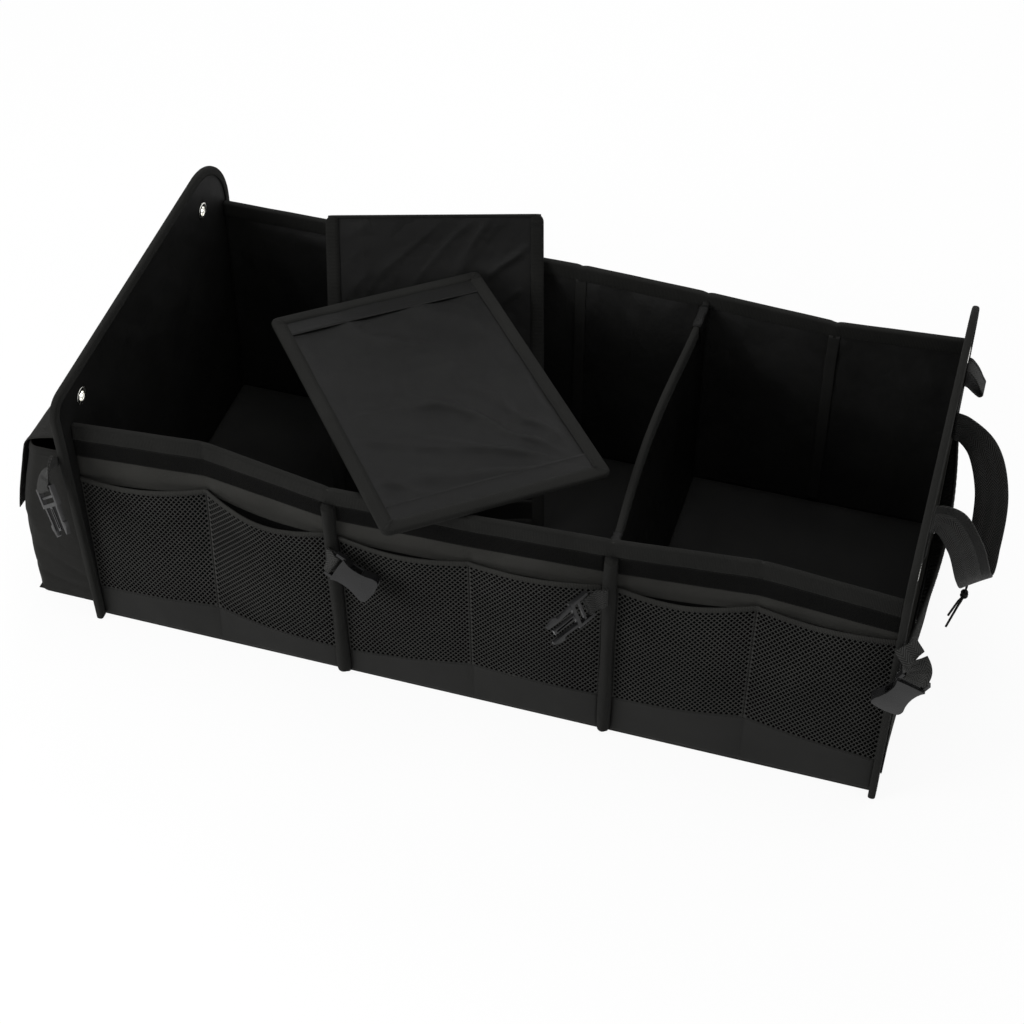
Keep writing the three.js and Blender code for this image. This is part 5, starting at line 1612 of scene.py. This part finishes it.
def hangNetPocket():
    half, face = netPocket["width"] / 2, rightFace
    hemLow = netPocket["height"] - netPocket["hem"]

    def sheet(u, v):
        y, z = mix(-half + 0.5, half - 0.5, u), mix(netPocket["low"], hemLow + 3, v)
        slack = 1.6 * rumple(y, z, size=38, seed=4) * math.sin(math.pi * u) * smooth(v, 0, 0.2)
        return face + 1.3 + max(0.0, netOff(y, z) + slack), y, z

    netSheet("net_pocket_net", sheet, netPocket["width"], hemLow, netPocket["netPitch"],
             netPocket["strand"], netPocket["netThickness"], net, "net", replaces=["net_pocket"])

    def hem(u, v):
        y, z = mix(-half, half, u), mix(hemLow + 0.3, netPocket["height"], v)
        return face + netPocket["hemThickness"] + netOff(y, hemLow) - 0.3, y, z

    def gather(u, v, p):
        crown = 0.9 * (math.sin(math.pi * v) - 1)
        pleat = math.sin(p[1] / 1.75 + 2.0 * rumple(p[1], 0, size=26, seed=2))
        near = 1 - smooth(abs(p[1]), 8, 150) * 0.6
        return crown + 0.4 * near * pleat * (0.4 + 0.6 * abs(2 * v - 1))

    gridShell("net_pocket_hem_tape", hem, 300, 7, netPocket["hemThickness"] - 0.9, tape, "tape",
              gather, under=0.3, replaces=["net_pocket_hem"])
    line = [Vector((face + netPocket["hemThickness"] + netOff(y, hemLow) - 0.5, y, hemLow + 2.2))
            for y in np.linspace(-half + 2, half - 2, 120)]
    sewAlong("hem", line, Vector((1, 0, 0)))
    for y in (-half, half):  # tape that sews the net's sides to the wall
        stations = [(Vector((face + 1.6, y * 0.995, z)), Vector((0, 1, 0)), Vector((1, 0, 0)))
                    for z in np.linspace(netPocket["low"], hemLow, 50)]
        sweepPiece(f"net_pocket_side_{'front' if y < 0 else 'back'}", stations,
                   [(a, b * 0.9) for a, b in roundedSection(9, 1.7)], tape, "tape")
    foot = [(Vector((face + 1.25, y, 6.6)), Vector((0, 0, 1)), Vector((1, 0, 0)))
            for y in np.linspace(-half, half, 80)]
    sweepPiece("net_pocket_foot", foot, roundedSection(11, 2.3), tape, "tape")


hangNetPocket()


# Cord lock: body and button moulded, a steel spring inside
softenedCopy("cord_lock_body", 0.5, plastic, "organizer", segments=3, angle=22)
softenedCopy("cord_lock_button", 0.5, plastic, "lock_button", segments=3)
spring = nodes["cord_lock_spring"]
spring.material_slots[0].material = steel
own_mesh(spring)
print("end pockets, cords and lock")


# Carry handle: stiff webbing sewn flat at both ends, its slack turned over and hanging
handle = {
    "width": 38, "thickness": 2.4, "seat": 42, "half": 74, "height": 279, "stand": 57, "droop": 130,
}


def sewHandle():
    face = rightFace + handle["thickness"] / 2
    half, seatEnd = handle["half"], handle["half"] + handle["seat"]
    steps = 220
    # share of the stand out from the wall, place along it, share of the droop
    bends = [(0, seatEnd, 0), (0, seatEnd - 21, 0), (0, half + 6, 0), (0, half + 3, 0),
             (0.03, half, 0), (0.2, 0.96 * half, 0), (0.6, 0.82 * half, 0.1), (0.92, 0.55 * half, 0.4),
             (1, 0.15 * half, 0.82), (1, -0.2 * half, 1), (0.92, -0.55 * half, 0.8),
             (0.66, -0.82 * half, 0.34), (0.3, -0.95 * half, 0.04), (0.1, -half, 0), (0, -half - 3, 0),
             (0, -half - 6, 0), (0, -seatEnd + 21, 0), (0, -seatEnd, 0)]
    line = catmull([(face + out * handle["stand"], y, handle["height"] - fall * handle["droop"])
                    for out, y, fall in bends], steps)
    turned = Vector((0.75, 0, 0.66))
    stations = []
    for k, p in enumerate(line):
        way = (line[min(k + 1, steps)] - line[max(k - 1, 0)]).normalized()
        turn = smooth(p.x, face + 0.1 * handle["stand"], face + 0.9 * handle["stand"])
        across = Vector((0, 0, 1)).lerp(turned, turn)
        across = (across - way * across.dot(way)).normalized()
        stations.append((p, across, way.cross(across)))
    section = roundedSection(handle["width"], handle["thickness"] - 0.3)
    sweepPiece("carry_handle_webbing", stations, section, webbing, "webbing",
               lambda s, a, b: (0, 0.25 * math.cos(a * math.pi / 19) * rumple(s, a, size=30, seed=5)),
               replaces=["carry_handle"])
    for side in (-1, 1):
        x = face + 1.35
        y0, y1 = side * (half + 6), side * (seatEnd - 4)
        z0, z1 = handle["height"] - 15, handle["height"] + 15
        corners = [(y0, z0), (y1, z0), (y1, z1), (y0, z1), (y0, z0), (y1, z1), (y0, z1), (y1, z0)]
        for (ya, za), (yb, zb) in zip(corners, corners[1:]):
            line = [Vector((x, mix(ya, yb, k / 12), mix(za, zb, k / 12))) for k in range(13)]
            sewAlong("handle", line, Vector((1, 0, 0)), pitch=3.0, width=0.4)


sewHandle()


# Straps and half-buckles: webbing from its seam, round the buckle's bar and back
straps = {"width": 25, "thickness": 1.5, "ring": 3.1, "plies": 0.82}
cornerFace = rightFace + box["tape"] + box["clearance"] + 1.6


def ribFace(x, z):
    return -halfWidth - leanAt(-1, x, z) - 13.3


# bar is the buckle's bar, along and facing its length and its front; seat is where the strap is sewn
buckles = {
    "left_corner": {
        "bar": (-459, -261, 237), "along": (0.5, -0.44, -0.75), "facing": (-0.49, -0.86, 0.17),
        "seat": (-cornerFace, -237, 264), "seatAcross": (0, -0.7, 0.7), "seatWay": (0, -0.7, -0.7)},
    "left_rib": {
        "bar": (-142, -244, 202), "along": (0.885, -0.08, -0.46), "facing": (0.04, -1, 0.1),
        "seat": (-foldPitch, ribFace(-foldPitch, 216.5), 204), "seatAcross": (0, 0, 1),
        "seatWay": (0.15, -1, 0)},
    "right_rib": {
        "bar": (134, -241, 222), "along": (-0.53, -0.82, -0.22), "facing": (0.79, -0.56, 0.21),
        "seat": (foldPitch, ribFace(foldPitch, 236.5), 224), "seatAcross": (0, 0, -1),
        "seatWay": (-0.3, -1, 0)},
    "right_corner": {
        "bar": (468, -250, 227), "along": (-0.49, -0.03, -0.87), "facing": (0.13, -0.98, -0.12),
        "seat": (cornerFace - 0.7, -240.5, 262), "seatAcross": (0, -0.7, -0.7),
        "seatWay": (0.6, -0.7, -0.4)},
}


def bezier(a, b, c, d, t):
    s = 1 - t
    return a * s ** 3 + b * 3 * s * s * t + c * 3 * s * t * t + d * t ** 3


def plySpread(p):
    # how far each ply stands off the strap's middle line: wider where it opens round the bar
    opening = (straps["ring"] - straps["plies"]) * (1 - smooth(-p.z, 0.5, 9))
    return straps["plies"] + opening * (1 - smooth(math.hypot(p.x, p.y), 6, 12))


def hangBuckles():
    for place, pose in buckles.items():
        along = Vector(pose["along"]).normalized()
        outward = Vector(pose["facing"])
        outward = (outward - along * outward.dot(along)).normalized()
        across = outward.cross(along)
        turn = Matrix((across, outward, along)).transposed()
        bar = Vector(pose["bar"])
        seat = turn.transposed() @ (Vector(pose["seat"]) - bar)
        seatAcross = (turn.transposed() @ Vector(pose["seatAcross"])).normalized()
        seatWay = (turn.transposed() @ Vector(pose["seatWay"])).normalized()
        reach = seat.length / 3
        a, b = seat, seat + seatWay * reach
        c, d = Vector((0, 0, -reach * 1.4)), Vector((0, 0, -0.2))
        plain = []
        for k in range(41):
            t = k / 40
            p, q = bezier(a, b, c, d, t), bezier(a, b, c, d, min(1, t + 0.01))
            if t > 0.99:
                q = p + Vector((0, 0, 1))
            way = (q - p).normalized()
            side = seatAcross.lerp(Vector((1, 0, 0)), smooth(t, 0.15, 0.62))
            side = (side - way * side.dot(way)).normalized()
            plain.append((p, side, way.cross(side)))
        ring = straps["ring"]
        stations = [(p + out * plySpread(p), side, out) for p, side, out in plain]
        for k in range(1, 16):
            t = math.pi * k / 16
            out = Vector((0, math.cos(t), math.sin(t)))
            stations.append((out * ring, Vector((1, 0, 0)), out))
        stations += [(p - out * plySpread(p), side, -out) for p, side, out in reversed(plain)]
        world = [(bar + turn @ p, turn @ side, turn @ out) for p, side, out in stations]
        section = roundedSection(straps["width"], straps["thickness"], 2)
        sweepPiece(f"strap_{place}_webbing", world, section, webbing, "webbing",
                   lambda s, x, y: (0, 0.15 * rumple(s, x, size=12, seed=bar.x)),
                   replaces=[f"strap_{place}"])
        for k in (28, 30):
            p, side, out = plain[k]
            for flank in (1, -1):
                line = [bar + turn @ (p + side * x + out * flank * 1.75)
                        for x in (-10, -5, 0, 5, 10)]
                sewAlong("strap_" + place, line, turn @ (out * flank), pitch=2.6, width=0.4)
        softenedCopy(f"buckle_{place}", 0.75, plastic, place + "_buckle", segments=3)


hangBuckles()


# Tab at the back right corner: a short loop of webbing
tab = {
    "y": 182.5, "bends": [(0.9, 256.5), (5, 255.6), (12, 249.8), (20, 244.6), (23.2, 247.5),
                          (19, 256), (12.5, 267.5), (4, 276.6), (0.9, 277.4)],
}


def sewTab():
    steps, across = 60, Vector((0, 1, 0))
    line = catmull([(rightFace + out, tab["y"], z) for out, z in tab["bends"]], steps)
    stations = []
    for k, p in enumerate(line):
        way = (line[min(k + 1, steps)] - line[max(k - 1, 0)]).normalized()
        stations.append((p, across, way.cross(across)))
    section = roundedSection(straps["width"], straps["thickness"], 2)
    sweepPiece("back_tab_webbing", stations, section, webbing, "webbing", replaces=["back_tab"])


sewTab()
finishStitches()
print("handle, straps, buckles and stitches")
